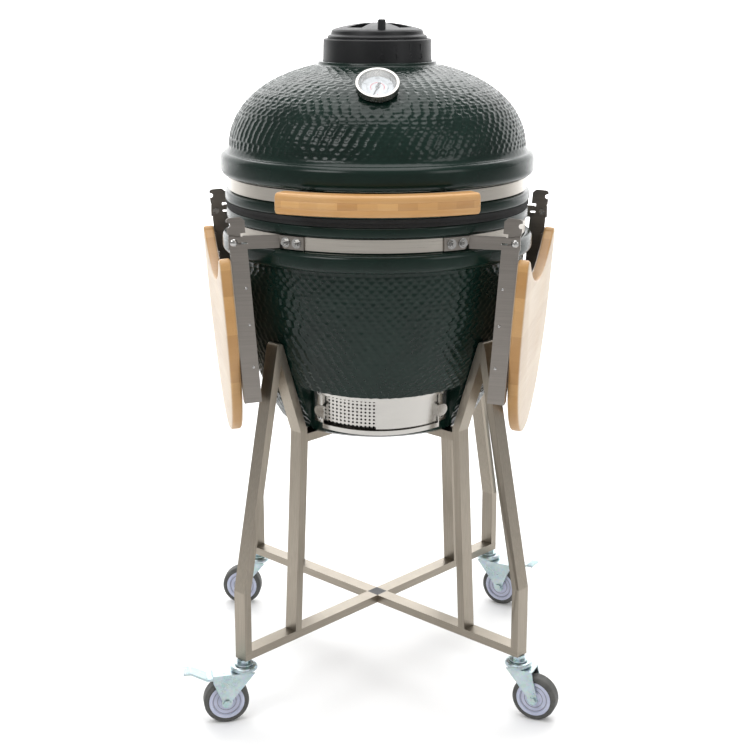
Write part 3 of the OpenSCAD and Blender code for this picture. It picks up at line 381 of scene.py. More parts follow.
def build_finishes():
    look = Look("glaze", (0.006, 0.02, 0.015), 0.2, IOR=1.5, Specular_IOR_Level=0.26)
    cloud = look.noise(7.0, 4.0)
    fine = look.noise(160.0, 3.0)
    look.colour(look.ramp(cloud, (0.35, (0.0026, 0.0098, 0.0070)), (0.65, (0.0055, 0.0185, 0.0135))))
    look.rough(look.span(fine, 0.17, 0.27))
    look.bump(look.noise(90.0, 3.0), 0.0003, 0.22)
    finishes["glaze"] = look.mat

    look = Look("felt", (0.012, 0.012, 0.012), 0.95)
    fibre = look.noise(900.0, 4.0, 0.8)
    look.colour(look.ramp(fibre, (0.35, (0.004, 0.004, 0.004)), (0.7, (0.03, 0.03, 0.03))))
    look.bump(fibre, 0.0006, 0.8)
    finishes["felt"] = look.mat

    finishes["band"] = steel("band", (0.46, 0.43, 0.385), 0.32, (6, 6, 900))
    finishes["bracket_steel"] = steel("bracket_steel", (0.24, 0.22, 0.20), 0.34, (8, 8, 500))
    finishes["draft_steel"] = steel("draft_steel", (0.47, 0.455, 0.43), 0.20, (20, 20, 60), 0.08,
                                    0.00001, 0.04)
    finishes["gauge_steel"] = steel("gauge_steel", (0.40, 0.39, 0.37), 0.28, (40, 40, 40), 0.1,
                                    0.00002, 0.05)
    finishes["fastener"] = steel("fastener", (0.40, 0.395, 0.385), 0.26, (90, 90, 90), 0.12,
                                 0.00004, 0.12)
    finishes["grid_steel"] = steel("grid_steel", (0.60, 0.59, 0.57), 0.25, (60, 60, 60))
    finishes["spring"] = steel("spring", (0.30, 0.29, 0.28), 0.35, (200, 200, 200))

    # Tubes: the grain follows each tube, upright in the legs and level in the rails. Their dark warm brown is
    # painted reflection of a brown room mirrored in the steel.
    look = Look("tube_steel", (0.40, 0.36, 0.31), 0.36, 1.0)
    upright = look.noise(1.0, 5.0, 0.7, look.stretched((700, 700, 10)))
    level = look.noise(1.0, 5.0, 0.7, look.stretched((14, 14, 700)))
    rail = look.math("LESS_THAN", look.axis("Z"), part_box("cross_plugs")[0].z + 0.0145)
    grain = look.mix(rail, upright, level)
    wide = look.noise(5.0, 3.0)
    # painted reflection: these brown tones stand in for a brown room that the steel mirrors
    look.colour(look.mix(look.span(grain, 0, 1), (0.25, 0.22, 0.18), (0.33, 0.295, 0.245)))
    look.rough(look.math("ADD", look.span(grain, 0.29, 0.41), look.span(wide, -0.04, 0.04)))
    look.bump(grain, 0.00003, 0.5)
    finishes["tube_steel"] = look.mat

    look = Look("zinc", (0.46, 0.55, 0.57), 0.3, 0.92)
    patch = look.cells(260.0, output="Color")
    tone = look.noise(35.0, 4.0)
    flake = look.mix(0.16, look.ramp(tone, (0.3, (0.36, 0.46, 0.48)), (0.7, (0.54, 0.63, 0.65))),
                     patch, "SOFT_LIGHT")
    look.colour(flake)
    look.rough(look.span(tone, 0.22, 0.4))
    look.bump(look.noise(300.0, 3.0), 0.0001, 0.4)
    finishes["zinc"] = look.mat

    look = Look("vent_iron", (0.008, 0.0085, 0.0095), 0.42, Specular_IOR_Level=0.3)
    grit = look.noise(420.0, 4.0, 0.7)
    worn = look.noise(22.0, 4.0)
    look.colour(look.ramp(worn, (0.35, (0.005, 0.0053, 0.006)), (0.7, (0.011, 0.0115, 0.0125))))
    look.rough(look.span(grit, 0.36, 0.5))
    look.bump(grit, 0.00025, 0.45)
    finishes["vent_iron"] = look.mat

    look = Look("grate_iron", (0.03, 0.028, 0.026), 0.7, 0.4)
    grit = look.noise(300.0, 5.0, 0.8)
    look.colour(look.ramp(grit, (0.3, (0.02, 0.018, 0.016)), (0.75, (0.07, 0.06, 0.05))))
    look.bump(grit, 0.0006, 0.7)
    finishes["grate_iron"] = look.mat

    look = Look("clay", (0.56, 0.47, 0.36), 0.88)
    cloud = look.noise(14.0, 4.0)
    sand = look.cells(420.0)
    look.colour(look.ramp(cloud, (0.3, (0.47, 0.38, 0.28)), (0.7, (0.64, 0.55, 0.43))))
    look.bump(look.math("ADD", look.noise(120.0, 5.0, 0.7), sand), 0.0007, 0.6)
    finishes["clay"] = look.mat

    look = Look("plug", (0.03, 0.03, 0.032), 0.55)
    grain = look.noise(700.0, 2.0)
    look.colour(look.ramp(grain, (0.4, (0.024, 0.024, 0.026)), (0.65, (0.04, 0.04, 0.042))))
    look.bump(grain, 0.0001, 0.5)
    finishes["plug"] = look.mat

    look = Look("hub", (0.50, 0.52, 0.66), 0.36, Subsurface_Weight=0.05)
    cloud = look.noise(40.0, 3.0)
    dust = look.noise(260.0, 3.0)
    look.colour(look.ramp(cloud, (0.3, (0.44, 0.46, 0.59)), (0.7, (0.55, 0.57, 0.70))))
    look.rough(look.span(dust, 0.3, 0.46))
    look.bump(dust, 0.00006, 0.4)
    finishes["hub"] = look.mat

    # Painted shade: a darker grey that stands in for the shade inside the hub's grooves
    look = Look("hub_groove_shade", (0.22, 0.23, 0.27), 0.5)
    look.colour(look.ramp(look.noise(90.0, 3.0), (0.3, (0.18, 0.19, 0.23)), (0.7, (0.27, 0.28, 0.33))))
    finishes["hub_groove_shade"] = look.mat

    look = Look("tyre", (0.07, 0.07, 0.066), 0.62)
    dust = look.noise(70.0, 4.0)
    grain = look.noise(520.0, 4.0, 0.8)
    look.colour(look.ramp(dust, (0.3, (0.055, 0.055, 0.052)), (0.7, (0.095, 0.094, 0.088))))
    look.rough(look.span(grain, 0.52, 0.75))
    look.bump(grain, 0.0002, 0.5)
    finishes["tyre"] = look.mat

    look = Look("gauge_dial", (0.56, 0.60, 0.64), 0.5)
    paper = look.noise(500.0, 2.0)
    look.colour(look.ramp(paper, (0.3, (0.53, 0.57, 0.61)), (0.7, (0.60, 0.63, 0.66))))
    finishes["gauge_dial"] = look.mat

    for name, colour in (("gauge_needle", (0.012, 0.012, 0.013)), ("dial_red", (0.60, 0.10, 0.12))):
        look = Look(name, colour, 0.45)
        dark = tuple(c * 0.8 for c in colour)
        look.colour(look.ramp(look.noise(400.0, 2.0), (0.35, dark), (0.65, colour)))
        finishes[name] = look.mat

    look = Look("gauge_glass", (0.95, 0.97, 0.98), 0.03, IOR=1.5, Alpha=0.14)
    look.rough(look.span(look.noise(30.0, 3.0), 0.02, 0.06))
    finishes["gauge_glass"] = look.mat

    finishes["bamboo"] = bamboo("bamboo", None)
    finishes["bamboo_handle"] = bamboo("bamboo_handle", "handle")
    finishes["bamboo_board"] = bamboo("bamboo_board", "board")


STRIP_W = 0.021                # width of one bamboo strip in a board
HANDLE_BLOCKS = 12             # blocks along the handle's middle layer
HANDLE_SWEEP = 1.13            # angle that those blocks cover, in radians


def bamboo(name, kind):
    """Laminated bamboo. A board's strips run along its local Y; the handle's blocks are
    told apart by their angle round the lid and by height."""
    look = Look(name, (0.65, 0.42, 0.2), 0.42)
    if kind == "handle":
        lo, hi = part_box("lid_handle")
        angle = look.math("ARCTAN2", look.axis("X"), look.math("MULTIPLY", look.axis("Y"), -1.0))
        along = look.math("MULTIPLY", angle, HANDLE_BLOCKS / HANDLE_SWEEP)
        layer = look.math("FLOOR", look.math(
            "MULTIPLY", look.math("SUBTRACT", look.axis("Z"), lo.z), 3.0 / (hi.z - lo.z)))
        middle = look.math("COMPARE", layer, 1.0, 0.4)
        block = look.math("MULTIPLY", look.math("FLOOR", along), middle)
        seed = look.math("ADD", look.math("MULTIPLY", layer, 7.3), block)
        fibre_at = look.stretched((5, 5, 900))
        turn = look.math("MULTIPLY", angle, 3.0)
    else:
        strip = look.math("FLOOR", look.math("DIVIDE", look.axis("Z"), STRIP_W))
        seed = look.math("MULTIPLY", strip, 3.7)
        fibre_at = look.stretched((260, 9, 900))
        turn = look.axis("Y")
    tone = look.tree.nodes.new("ShaderNodeTexWhiteNoise")
    tone.noise_dimensions = "1D"
    look.link(seed, tone.inputs["W"])
    fibre = look.noise(1.0, 6.0, 0.7, fibre_at)
    cloud = look.noise(11.0, 3.0)
    if kind == "board":
        pale = look.mix(tone.outputs["Value"], (0.60, 0.49, 0.37), (0.67, 0.57, 0.44))
        gold = look.mix(tone.outputs["Value"], (0.36, 0.18, 0.05), (0.52, 0.29, 0.10))
        across = look.math("ABSOLUTE", look.axis("X", "Normal"))
        face = look.span(across, 0.0, 1.0, 0.55, 0.9)
        base = look.mix(face, gold, pale)
    else:
        base = look.mix(tone.outputs["Value"], (0.38, 0.175, 0.045), (0.62, 0.34, 0.115))
    streaky = look.mix(look.span(fibre, 0.0, 0.34), base, (0.33, 0.16, 0.05))
    look.colour(look.mix(look.span(cloud, 0.0, 0.16), streaky, (0.72, 0.53, 0.31)))
    look.rough(look.span(fibre, 0.34, 0.5))
    look.bump(fibre, 0.00012, 0.4)
    return look.mat


build_finishes()
for node, piece in nodes.items():
    piece.data.materials.clear()
    piece.data.materials.append(finishes[SLOT_OF[node]])
    piece.data.polygons.foreach_set("use_smooth", [True] * len(piece.data.polygons))
    sharp_by_angle(piece, 32)

# ---- Dented ceramic ---------------------------------------------------------------------------

DENT_W = 0.0152                # distance between dents round the egg
DENT_ROW = 0.007               # distance between the staggered rows
DENT_DEPTH = 0.0016
DENT_REACH = (0.0074, 0.0052)  # half of a dent's size, round the egg and along its curve
DENT_STRAY = (0.0011, 0.0006)  # how far a dent strays from its place, the same two ways
DENT_COLUMNS = 400             # more than the dents in any row
SKIN_STEP = 0.0018             # mesh size of the dented skin
SKIN_SIDES = 720


def dents(curve, n, fade, seed):
    """How far each point of a dented skin is pressed in, on a curve of (r, z) points.
    The dents fade out over a short way at both ends of the curve."""
    rng = np.random.RandomState(seed)
    step = np.concatenate([[0], np.cumsum(np.linalg.norm(np.diff(curve, axis=0), axis=1))])
    rows = int(step[-1] / DENT_ROW) + 4
    jitter = rng.uniform(-1, 1, (rows, DENT_COLUMNS, 2)) * np.array(DENT_STRAY)
    strength = rng.uniform(0.7, 1.15, (rows, DENT_COLUMNS))
    phase = rng.uniform(0, 0.16, rows)
    az = np.arange(n) * TAU / n
    best = np.full((len(curve), n), 9.0)
    power = np.zeros((len(curve), n))
    for i, (s, (r, _)) in enumerate(zip(step, curve)):
        near = int(s // DENT_ROW)
        for row in range(max(0, near - 1), min(rows, near + 3)):
            r_row = np.interp(row * DENT_ROW, step, curve[:, 0])
            count = int(round(TAU * r_row / DENT_W))
            place = az / TAU * count - 0.5 * (row % 2) - phase[row]
            index = np.round(place).astype(int)
            which = index % count
            dx = (place - index) / count * TAU * r + jitter[row, which, 0]
            ds = s - row * DENT_ROW + jitter[row, which, 1]
            far = (dx / DENT_REACH[0]) ** 2 + (ds / DENT_REACH[1]) ** 2
            closer = far < best[i]
            best[i] = np.where(closer, far, best[i])
            power[i] = np.where(closer, strength[row, which], power[i])
    press = np.clip(1 - best, 0, 1) ** 0.8 * power * DENT_DEPTH
    edge = np.minimum(step, step[-1] - step) / fade
    return press * np.clip(edge, 0, 1)[:, None]


def skin(smooth_before, curve, smooth_after, name, seed):
    """A ceramic shell whose profile has a dented stretch between two smooth ones."""
    dented = resample(curve, SKIN_STEP)
    profile = np.concatenate([np.array(smooth_before), dented, np.array(smooth_after)])
    press = np.zeros((len(profile), SKIN_SIDES))
    press[len(smooth_before):len(smooth_before) + len(dented)] = dents(dented, SKIN_SIDES, 0.006, seed)
    return lathe(name, profile, SKIN_SIDES, press)


def build_lid():
    round_r = 0.012
    mid = FLANGE_R - round_r
    dome = [p for p in dome_curve(NECK_R + 0.002, EGG_R, dome_rise, 60) if p[1] > dome_mid + 0.008]
    before = (
        [(INNER_R, lid_lo.z)] + arc(LIP_R - 0.004, lid_lo.z + 0.004, 0.004, -90, 0, 4)
        + arc(LIP_R - 0.004, lid_groove - 0.004, 0.004, 0, 90, 4)
        + [(GROOVE_R, lid_groove), (GROOVE_R, lid_flange)]
        + arc(mid, lid_flange + round_r, round_r, -90, 0)
        + arc(mid, lid_flange + LID_FLANGE_H - round_r, round_r, 0, 80))
    after = ([(NECK_R + 0.001, lid_hi.z - NECK_H)]
             + arc(NECK_R - 0.002, lid_hi.z - 0.002, 0.002, 0, 90, 4) + [(CHIMNEY_R, lid_hi.z)]
             + dome_curve(CHIMNEY_R, INNER_R, dome_rise - 0.024, 30)[::-1])
    return skin(before, dome, after, "lid_ceramic", 3)


CAVITY_SHARE = 0.79            # depth of the base's hollow curve, next to the outer one's
DRAFT_H = 0.070                # height of the draft frame
DRAFT_TURN = 2.2               # the draft assembly's turn round the egg, in degrees
DRAFT_LEAN = 12                # and how far its top leans out, in degrees
RECESS_HALF = 41.5
WINDOW_HALF = 26


def build_base():
    round_r = 0.009
    mid = FLANGE_R - 0.001 - round_r
    low = base_flange - BASE_FLANGE_H
    first = base_lo.z + 0.008
    body = [(egg_curve(z, EGG_R, base_depth), z) for z in np.linspace(first, low, 60)]
    cavity = [(egg_curve(z, INNER_R, base_depth * CAVITY_SHARE), z)
              for z in np.linspace(base_mid, floor_z, 24)]
    foot_r = egg_curve(base_lo.z, EGG_R, base_depth) - 0.006
    before = [(0, base_lo.z), (foot_r, base_lo.z)]
    after = (
        arc(mid, low + round_r, round_r, -90, 0) + arc(mid, base_flange - round_r, round_r, 0, 90)
        + [(GROOVE_R, base_flange), (GROOVE_R, base_groove)]
        + arc(LIP_R - 0.006, base_groove + 0.004, 0.004, -90, 0, 4)
        + arc(LIP_R - 0.006, base_hi.z - 0.004, 0.004, 0, 90, 4)
        + [(INNER_R, base_hi.z)] + cavity + [(0, floor_z)])
    piece = skin(before, body, after, "base_ceramic", 5)
    in_r = egg_curve(draft_z, EGG_R, base_depth) - 0.004
    out_r = in_r + 0.012
    recess = sector("recess", in_r, out_r + 0.06, draft_z - 0.03, draft_z + DRAFT_H + 0.004,
                    -90 - RECESS_HALF, -90 + RECESS_HALF)
    recess.data.transform(
        Matrix.Rotation(math.radians(DRAFT_TURN), 4, "Z") @ Matrix.Translation((0, -out_r, draft_z))
        @ Matrix.Rotation(math.radians(DRAFT_LEAN), 4, "X") @ Matrix.Translation((0, out_r, -draft_z)))
    window = sector("window", 0.04, out_r + 0.008, floor_z + 0.002, draft_z + DRAFT_H - 0.010,
                    -90 - WINDOW_HALF, -90 + WINDOW_HALF)
    cut(piece, recess, window)
    sharp_by_angle(piece, 40)
    return piece


stand_for(build_lid(), "lid_shell")
stand_for(build_base(), "base_shell")

# ---- Bamboo -------------------------------------------------------------------------------------

LEAN = 4.2                     # the hanging shelf leans in this much, in degrees
BOARD_X = 0.007                # from the pivots out to a board's inner face
BOARD_T = 0.019
BOARD_HALF = 0.175
BOARD_MID = 0.120
BOARD_LEN = 0.351
HORN_R = 0.011
HORN_TIP = 0.036
HOLLOW = 0.084
HOLLOW_R = 0.235
BOARD_EDGE = 0.0045            # rounding of a board's edges


def board_outline():
    edge = [(BOARD_HALF * math.cos(t), -BOARD_MID - (BOARD_LEN - BOARD_MID) * math.sin(t))
            for t in np.linspace(0, math.pi, 65)]
    reach = BOARD_HALF - 0.026
    sweep = math.degrees(math.asin(reach / HOLLOW_R))
    return (edge + arc(-BOARD_HALF + HORN_R + 0.002, -HORN_TIP, HORN_R, 180, 20, 12)
            + arc(0, HOLLOW_R - HOLLOW, HOLLOW_R, -90 - sweep, -90 + sweep, 40)
            + arc(BOARD_HALF - HORN_R - 0.002, -HORN_TIP, HORN_R, 160, 0, 12))


def shelf_frame(side):
    """The place of a hanging shelf: X points out, Y runs along the pivots."""
    joint = joints[side + "_shelf_fold"]
    pivot = Vector(joint["pos_m"])
    turn = math.atan2(pivot.y, pivot.x)
    return (Matrix.Translation(pivot) @ Matrix.Rotation(turn, 4, "Z")
            @ Matrix.Rotation(math.radians(LEAN), 4, "Y"))


def build_board(side):
    outline = np.array(board_outline())
    keep = np.linalg.norm(outline - np.roll(outline, 1, 0), axis=1) > 1e-5
    outline = outline[keep]
    ahead = np.roll(outline, -1, 0) - np.roll(outline, 1, 0)
    ahead /= np.linalg.norm(ahead, axis=1)[:, None]
    area = 0.5 * np.sum(outline[:, 0] * np.roll(outline[:, 1], -1)
                        - np.roll(outline[:, 0], -1) * outline[:, 1])
    inward = np.stack([-ahead[:, 1], ahead[:, 0]], 1) * np.sign(area)
    turns = np.linspace(0, math.pi / 2, 6)
    rings = [(BOARD_EDGE * (1 - math.sin(t)), BOARD_EDGE * (1 - math.cos(t))) for t in turns]
    rings += [(d, BOARD_T - x) for d, x in reversed(rings)]
    n = len(outline)
    verts = [(x, *(outline[i] + inward[i] * d)) for d, x in rings for i in range(n)]
    faces = [(k * n + i, k * n + (i + 1) % n, (k + 1) * n + (i + 1) % n, (k + 1) * n + i)
             for k in range(len(rings) - 1) for i in range(n)]
    faces += [tuple(range(n)), tuple((len(rings) - 1) * n + i for i in reversed(range(n)))]
    piece = make(side + "_bamboo_board", verts, faces)
    fix_normals(piece)
    sharp_by_angle(piece, 40)
    piece.matrix_world = shelf_frame(side) @ Matrix.Translation((BOARD_X, 0, 0))
    stand_for(piece, side + "_shelf_board", "bamboo_board")


def build_handle():
    """The curved handle: three glued layers, with fine seams between them."""
    lo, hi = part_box("lid_handle")
    back_r = FLANGE_R + 0.028
    depth, edge, back_edge = 0.028, 0.006, 0.003
    half = (hi.z - lo.z) / 2
    mid_z = (hi.z + lo.z) / 2
    r2 = back_r + depth
    reach = math.asin(hi.x / r2)
    seam, seam_deep, seam_half = half / 3, 0.0004, 0.0005
    section = (arc(back_r + back_edge, half - back_edge, back_edge, 180, 90, 5)
               + arc(r2 - edge, half - edge, edge, 90, 0, 8)
               + [(r2, seam + seam_half), (r2 - seam_deep, seam), (r2, seam - seam_half),
                  (r2, -seam + seam_half), (r2 - seam_deep, -seam), (r2, -seam - seam_half)]
               + arc(r2 - edge, edge - half, edge, 0, -90, 8)
               + arc(back_r + back_edge, back_edge - half, back_edge, 270, 180, 5))
    centre = np.array([back_r + depth / 2, 0])
    sec = np.array(section)
    end_r = 0.004
    stations = []
    for t in np.linspace(0, math.pi / 2, 6):
        stations.append((-reach + end_r * (1 - math.sin(t)) / r2, end_r * (1 - math.cos(t))))
    stations = stations[::-1]
    body = [(a, 0.0) for a in np.linspace(-reach + end_r / r2, reach - end_r / r2, 90)[1:-1]]
    path = stations + body + [(-a, d) for a, d in reversed(stations)]
    verts, faces = [], []
    n = len(sec)
    for a, d in path:
        shrink = np.sign(sec - centre) * np.minimum(np.abs(sec - centre), d)
        ring = sec - shrink
        t = -math.pi / 2 + a
        verts += [(r * math.cos(t), r * math.sin(t), mid_z + z) for r, z in ring]
    for i in range(len(path) - 1):
        for k in range(n):
            faces.append((i * n + k, i * n + (k + 1) % n, (i + 1) * n + (k + 1) % n, (i + 1) * n + k))
    faces += [tuple(range(n)), tuple((len(path) - 1) * n + k for k in reversed(range(n)))]
    piece = make("bamboo_handle_bar", verts, faces)
    fix_normals(piece)
    sharp_by_angle(piece, 40)
    stand_for(piece, "lid_handle", "bamboo_handle")


for side in ("left", "right"):
    build_board(side)
build_handle()

# ---- Printed and cast marks, springs, small fasteners ---------------------------------------

def joined(name, pieces):
    """One mesh out of several."""
    bm = bmesh.new()
    for piece in pieces:
        mesh = piece.data
        mesh.transform(piece.matrix_world)
        bm.from_mesh(mesh)
        bpy.data.objects.remove(piece)
    mesh = bpy.data.meshes.new(name)
    bm.to_mesh(mesh)
    bm.free()
    mesh.polygons.foreach_set("use_smooth", [True] * len(mesh.polygons))
    piece = link(name, mesh)
    sharp_by_angle(piece, 40)
    return piece


def ellipse(cx, cy, rx, ry, a, b, n=14):
    turns = [math.radians(a + (b - a) * i / n) for i in range(n + 1)]
    return [(cx + rx * math.cos(t), cy + ry * math.sin(t)) for t in turns]


DIGITS = {                     # strokes in a box 0.6 wide and 1 high
    "0": ellipse(0.3, 0.5, 0.27, 0.47, 90, 450, 24),
    "1": [(0.12, 0.76), (0.34, 0.97), (0.34, 0.03)],
    "2": ellipse(0.3, 0.7, 0.26, 0.27, 165, -25, 12) + [(0.05, 0.03), (0.57, 0.03)],
    "3": ellipse(0.28, 0.74, 0.25, 0.23, 160, -80, 12) + ellipse(0.28, 0.27, 0.28, 0.25, 80, -160, 12),
    "4": [(0.44, 0.03), (0.44, 0.97), (0.03, 0.32), (0.58, 0.32)],
}


def written(text, height, put, r):
    """Beads that draw the text. put turns a flat place (across, up) into a point."""
    width = 0.8 * height
    beads = []
    for i, digit in enumerate(text):
        shift = (i - (len(text) - 1) / 2) * width - 0.3 * height
        line = [put(shift + x * height, (y - 0.5) * height) for x, y in DIGITS[digit]]
        beads.append(tube("bead", line, r, 6))
    return beads


COLLAR_TAPER = 0.001           # how much the collar narrows to its top
COLLAR_TURNS = (5, 20, 36, 52)   # places of the marks from the front, in degrees
TICK_TOP, TICK_H, TICK_R = 0.007, 0.010, 0.0009
DIGIT_DOWN, DIGIT_H, DIGIT_R = 0.0265, 0.009, 0.0008


def build_collar_marks():
    """Ticks and the digits 0 to 3, cast on the collar's outside."""
    lo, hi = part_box("vent_collar")

    def on_collar(turn, z):
        r = hi.x - COLLAR_TAPER * (z - lo.z) / (hi.z - lo.z)
        t = math.radians(-90 + turn)
        return r * math.cos(t), r * math.sin(t), z

    beads = []
    for digit, turn in zip("0123", COLLAR_TURNS):
        def put(across, up):
            return on_collar(turn + math.degrees(across / hi.x), hi.z - DIGIT_DOWN + up)

        line = [on_collar(turn, hi.z - TICK_TOP - TICK_H * i / 4) for i in range(5)]
        beads.append(tube("tick", line, TICK_R, 8))
        beads += written(digit, DIGIT_H, put, DIGIT_R)
    piece = joined("collar_marks", beads)
    add_on(piece, "vent_collar", "vent_collar")


def along(place, axis):
    """A frame at a place, its Z along the axis and its Y as far up as that allows."""
    z = Vector(axis).normalized()
    up = Vector((0, 0, 1)) - z * z.z
    y = up.normalized() if up.length > 1e-4 else Vector((0, 1, 0))
    x = y.cross(z)
    return Matrix.Translation(place) @ Matrix((x, y, z)).transposed().to_4x4()


DIAL_START, DIAL_SWEEP = 225, 270   # the scale's start and span, in degrees, turning clockwise
DIAL_TICKS = 40
INK = 0.0002                        # half thickness of the dial's ink


def build_dial_marks():
    """A generic scale: ticks, five numbers, a red arc and a red mark at the bottom."""
    joint = joints["thermometer_needle_turn"]
    axis = Vector(joint["axis"])
    face = nodes["thermometer_dial"]
    place = Vector(joint["pos_m"])
    top = max((face.matrix_world @ v.co - place).dot(axis) for v in face.data.vertices)
    seat = along(place + axis * top, axis)
    rim = max((face.matrix_world @ v.co - place).cross(axis).length for v in face.data.vertices)
    ink = []
    for i in range(DIAL_TICKS + 1):
        turn = DIAL_START - DIAL_SWEEP * i / DIAL_TICKS
        inner = rim * (0.60 if i % 5 == 0 else 0.64)
        ink.append(sector("tick", inner, rim * 0.71, -INK, INK, turn - 0.8, turn + 0.8, 2))
    for i, text in enumerate(("0", "100", "200", "300", "400")):
        turn = math.radians(DIAL_START - DIAL_SWEEP * i / 4)
        cx, cy = 0.85 * rim * math.cos(turn), 0.85 * rim * math.sin(turn)

        def put(across, up):
            return cx + across, cy + up, 0.0001

        ink += written(text, 0.0027, put, 0.00022)
    piece = joined("dial_ink", ink)
    piece.matrix_world = seat
    add_on(piece, "thermometer_dial", "thermometer_needle")
    arcs = [sector("arc", rim * 0.40, rim * 0.46, -INK, INK, -30, 210, 48),
            sector("mark", rim * 0.60, rim * 0.72, -INK, INK, 268, 272, 3)]
    piece = joined("dial_arc", arcs)
    piece.matrix_world = seat
    add_on(piece, "thermometer_dial", "thermometer_needle", "dial_red")


SPRING_WIRE = 0.0016           # radius of a spring's wire
SPRING_GAP = 0.002             # from the middle to where a spring starts
COIL_SIDES = 20                # points in one turn


def build_springs():
    """The lid's two wound springs on the hinge pin."""
    lo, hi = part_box("hinge_springs")
    wire = SPRING_WIRE
    r = (hi.z - lo.z) / 2 - wire
    y, z = (lo.y + hi.y) / 2, (lo.z + hi.z) / 2
    first, last = SPRING_GAP + wire, hi.x - wire
    turns = round((last - first) / (2.7 * wire))
    coils = []
    for side in (-1, 1):
        path = []
        for i in range(turns * COIL_SIDES + 1):
            t = TAU * i / COIL_SIDES
            path.append((side * (first + (last - first) * i / (turns * COIL_SIDES)),
                         y + r * math.cos(t), z + r * math.sin(t)))
        coils.append(tube("coil", path, wire, 8))
    stand_for(joined("wound_springs", coils), "hinge_springs")


ARM_FACE = 0.1665              # from the shelf's middle out to an arm's outer face
RIVET_X = -0.013               # how far behind the pivots' line the rivets are
RIVETS = (-0.075, -0.135, -0.205)
RIVET_HEAD = [(0, -0.0006), (0.0025, -0.0006), (0.0025, 0.0003), (0.0022, 0.0009),
              (0.0013, 0.0013), (0, 0.0014)]


def build_rivets(side):
    """Three small domed heads on the outside of each of a shelf's arms."""
    heads = []
    for way in (-1, 1):
        for z in RIVETS:
            head = lathe("head", RIVET_HEAD, 20)
            head.matrix_world = (Matrix.Translation((RIVET_X, way * ARM_FACE, z))
                                 @ Matrix.Rotation(-way * math.pi / 2, 4, "X"))
            heads.append(head)
    piece = joined(side + "_arm_rivets", heads)
    piece.matrix_world = shelf_frame(side)
    add_on(piece, side + "_shelf_arms", side + "_shelf_screws")


HUB_RINGS = (0.0150, 0.0217)   # inner radii of the painted-shade rings on a hub's sunk faces
HUB_RING_W = 0.0010
HUB_FACE = (0.0096, 0.0103)    # where a ring starts and ends, out from the wheel's middle


def build_wheel_shade_rings(corner):
    """Grey rings on both faces of a wheel's hub: painted shade for the hub's grooves."""
    joint = joints["wheel_spin_" + corner]
    rings = []
    for way in (-1, 1):
        z1, z2 = sorted(way * z for z in HUB_FACE)
        for r in HUB_RINGS:
            profile = [(r, z1), (r + HUB_RING_W, z1), (r + HUB_RING_W, z2), (r, z2)]
            rings.append(lathe("ring", profile, 72))
    piece = joined("hub_shade_rings_" + corner, rings)
    piece.matrix_world = along(joint["pos_m"], joint["axis"])
    add_on(piece, "wheel_" + corner, "wheel_" + corner, "hub_groove_shade")


TREAD_RIBS, TREAD_STEP, TREAD_R = 4, 0.0030, 0.0009


def build_tread(corner):
    """Ribs across the tip of a brake lever."""
    joint = joints["brake_press_" + corner]
    lever = nodes["brake_" + corner]
    place, axis = Vector(joint["pos_m"]), Vector(joint["axis"]).normalized()
    points = [lever.matrix_world @ v.co - place for v in lever.data.vertices]
    out = axis.cross(Vector((0, 0, 1)))
    if sum((p.dot(out) for p in points)) < 0:
        out = -out
    reach = max(p.dot(out) for p in points)
    tip = [p for p in points if p.dot(out) > reach - 0.004]
    half = max(abs(p.dot(axis)) for p in tip) - 0.0015
    top = max(p.z for p in tip)
    ribs = []
    for i in range(TREAD_RIBS):
        at = place + out * (reach - 2 * TREAD_R - TREAD_STEP * i) + Vector((0, 0, top + 0.0001))
        ribs.append(tube("rib", [at + axis * (half * k) for k in (-1, 0, 1)], TREAD_R, 8))
    add_on(joined("tread_" + corner, ribs), "brake_" + corner, "brake_" + corner)


build_collar_marks()
build_dial_marks()
build_springs()
for side in ("left", "right"):
    build_rivets(side)
for corner in CORNERS:
    build_wheel_shade_rings(corner)
for corner in ("front_left", "back_right"):
    build_tread(corner)

# ---- Stage, lights and camera ---------------------------------------------------------------------

FLOOR = 30.0                   # half of the floor's side
SHEET_HALF, SHEET_H = 9.0, 6.0   # half width and height of the white sheet
SHEET_Y = 4.5                  # how far behind the egg it stands


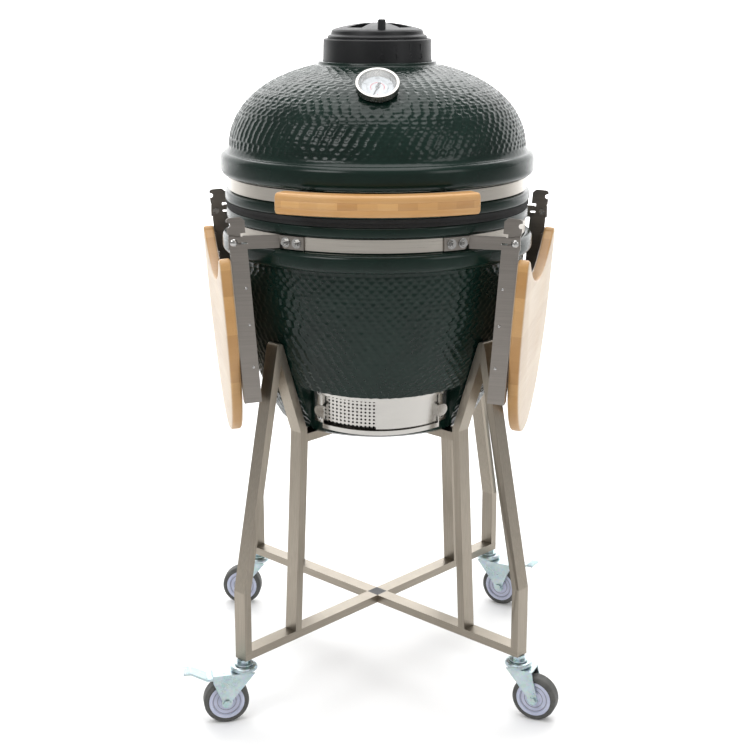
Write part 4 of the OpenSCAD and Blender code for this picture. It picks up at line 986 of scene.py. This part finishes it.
def build_stage():
    """A pale floor, a dim even sky and a white sheet far behind the grill."""
    floor = make("floor", [(x * FLOOR, y * FLOOR, 0) for x, y in ((-1, -1), (1, -1), (1, 1), (-1, 1))],
                 [(0, 1, 2, 3)])
    look = Look("pale_floor", (0.92, 0.92, 0.92), 0.7, Specular_IOR_Level=0.2)
    look.colour(look.ramp(look.noise(3.0, 3.0), (0.3, (0.91, 0.91, 0.91)), (0.7, (0.93, 0.93, 0.93))))
    floor.data.materials.append(look.mat)

    world = bpy.data.worlds.new("studio")
    scene.world = world
    world.use_nodes = True
    world.node_tree.nodes["Background"].inputs["Color"].default_value = (1, 1, 1, 1)
    world.node_tree.nodes["Background"].inputs["Strength"].default_value = 0.42

    sheet = make("backdrop", [(x * SHEET_HALF, SHEET_Y, z * SHEET_H)
                              for x, z in ((-1, 0), (1, 0), (1, 1), (-1, 1))], [(0, 1, 2, 3)])
    glow = Look("backdrop_white", (0.9, 0.9, 0.9), 0.8)
    glow.set("Emission Color", (1, 1, 1, 1))
    glow.set("Emission Strength", 1.2)
    glow.rough(glow.span(glow.noise(2.0, 2.0), 0.75, 0.85))
    sheet.data.materials.append(glow.mat)


def softbox(name, place, target, size, power):
    """A rectangular light that faces its target. Size in metres, power in watts."""
    light = bpy.data.lights.new(name, "AREA")
    light.shape = "RECTANGLE"
    light.size, light.size_y = size
    light.energy = power
    lamp = bpy.data.objects.new(name, light)
    scene.collection.objects.link(lamp)
    lamp.location = place
    lamp.rotation_euler = (Vector(target) - Vector(place)).to_track_quat("-Z", "Y").to_euler()


def build_lights():
    middle = (0, 0, 0.75)
    softbox("key", (-1.9, -2.2, 2.7), middle, (1.5, 1.1), 34)
    softbox("fill", (2.3, -1.9, 1.9), middle, (1.2, 1.4), 14)
    softbox("top", (0.0, -0.2, 3.3), middle, (2.4, 2.4), 62)
    softbox("back", (0.0, 2.6, 3.6), (0, 2.2, 0), (5.0, 2.5), 120)


CAMERA_PLACE = (-0.00385, -2.3932, 1.1922)
CAMERA_PITCH = 12.58           # degrees below level
CAMERA_FOCAL = 1.8839          # focal length in picture widths
CAMERA_RISE = -0.0965          # shift of the picture, in picture widths


def build_camera():
    data = bpy.data.cameras.new("camera")
    data.sensor_width = 36
    data.lens = CAMERA_FOCAL * data.sensor_width
    data.shift_y = CAMERA_RISE
    data.clip_end = 100
    camera = bpy.data.objects.new("camera", data)
    scene.collection.objects.link(camera)
    camera.location = CAMERA_PLACE
    camera.rotation_euler = (math.radians(90 - CAMERA_PITCH), 0, 0)
    scene.camera = camera


build_stage()
build_lights()
build_camera()
scene.view_settings.view_transform = "Standard"
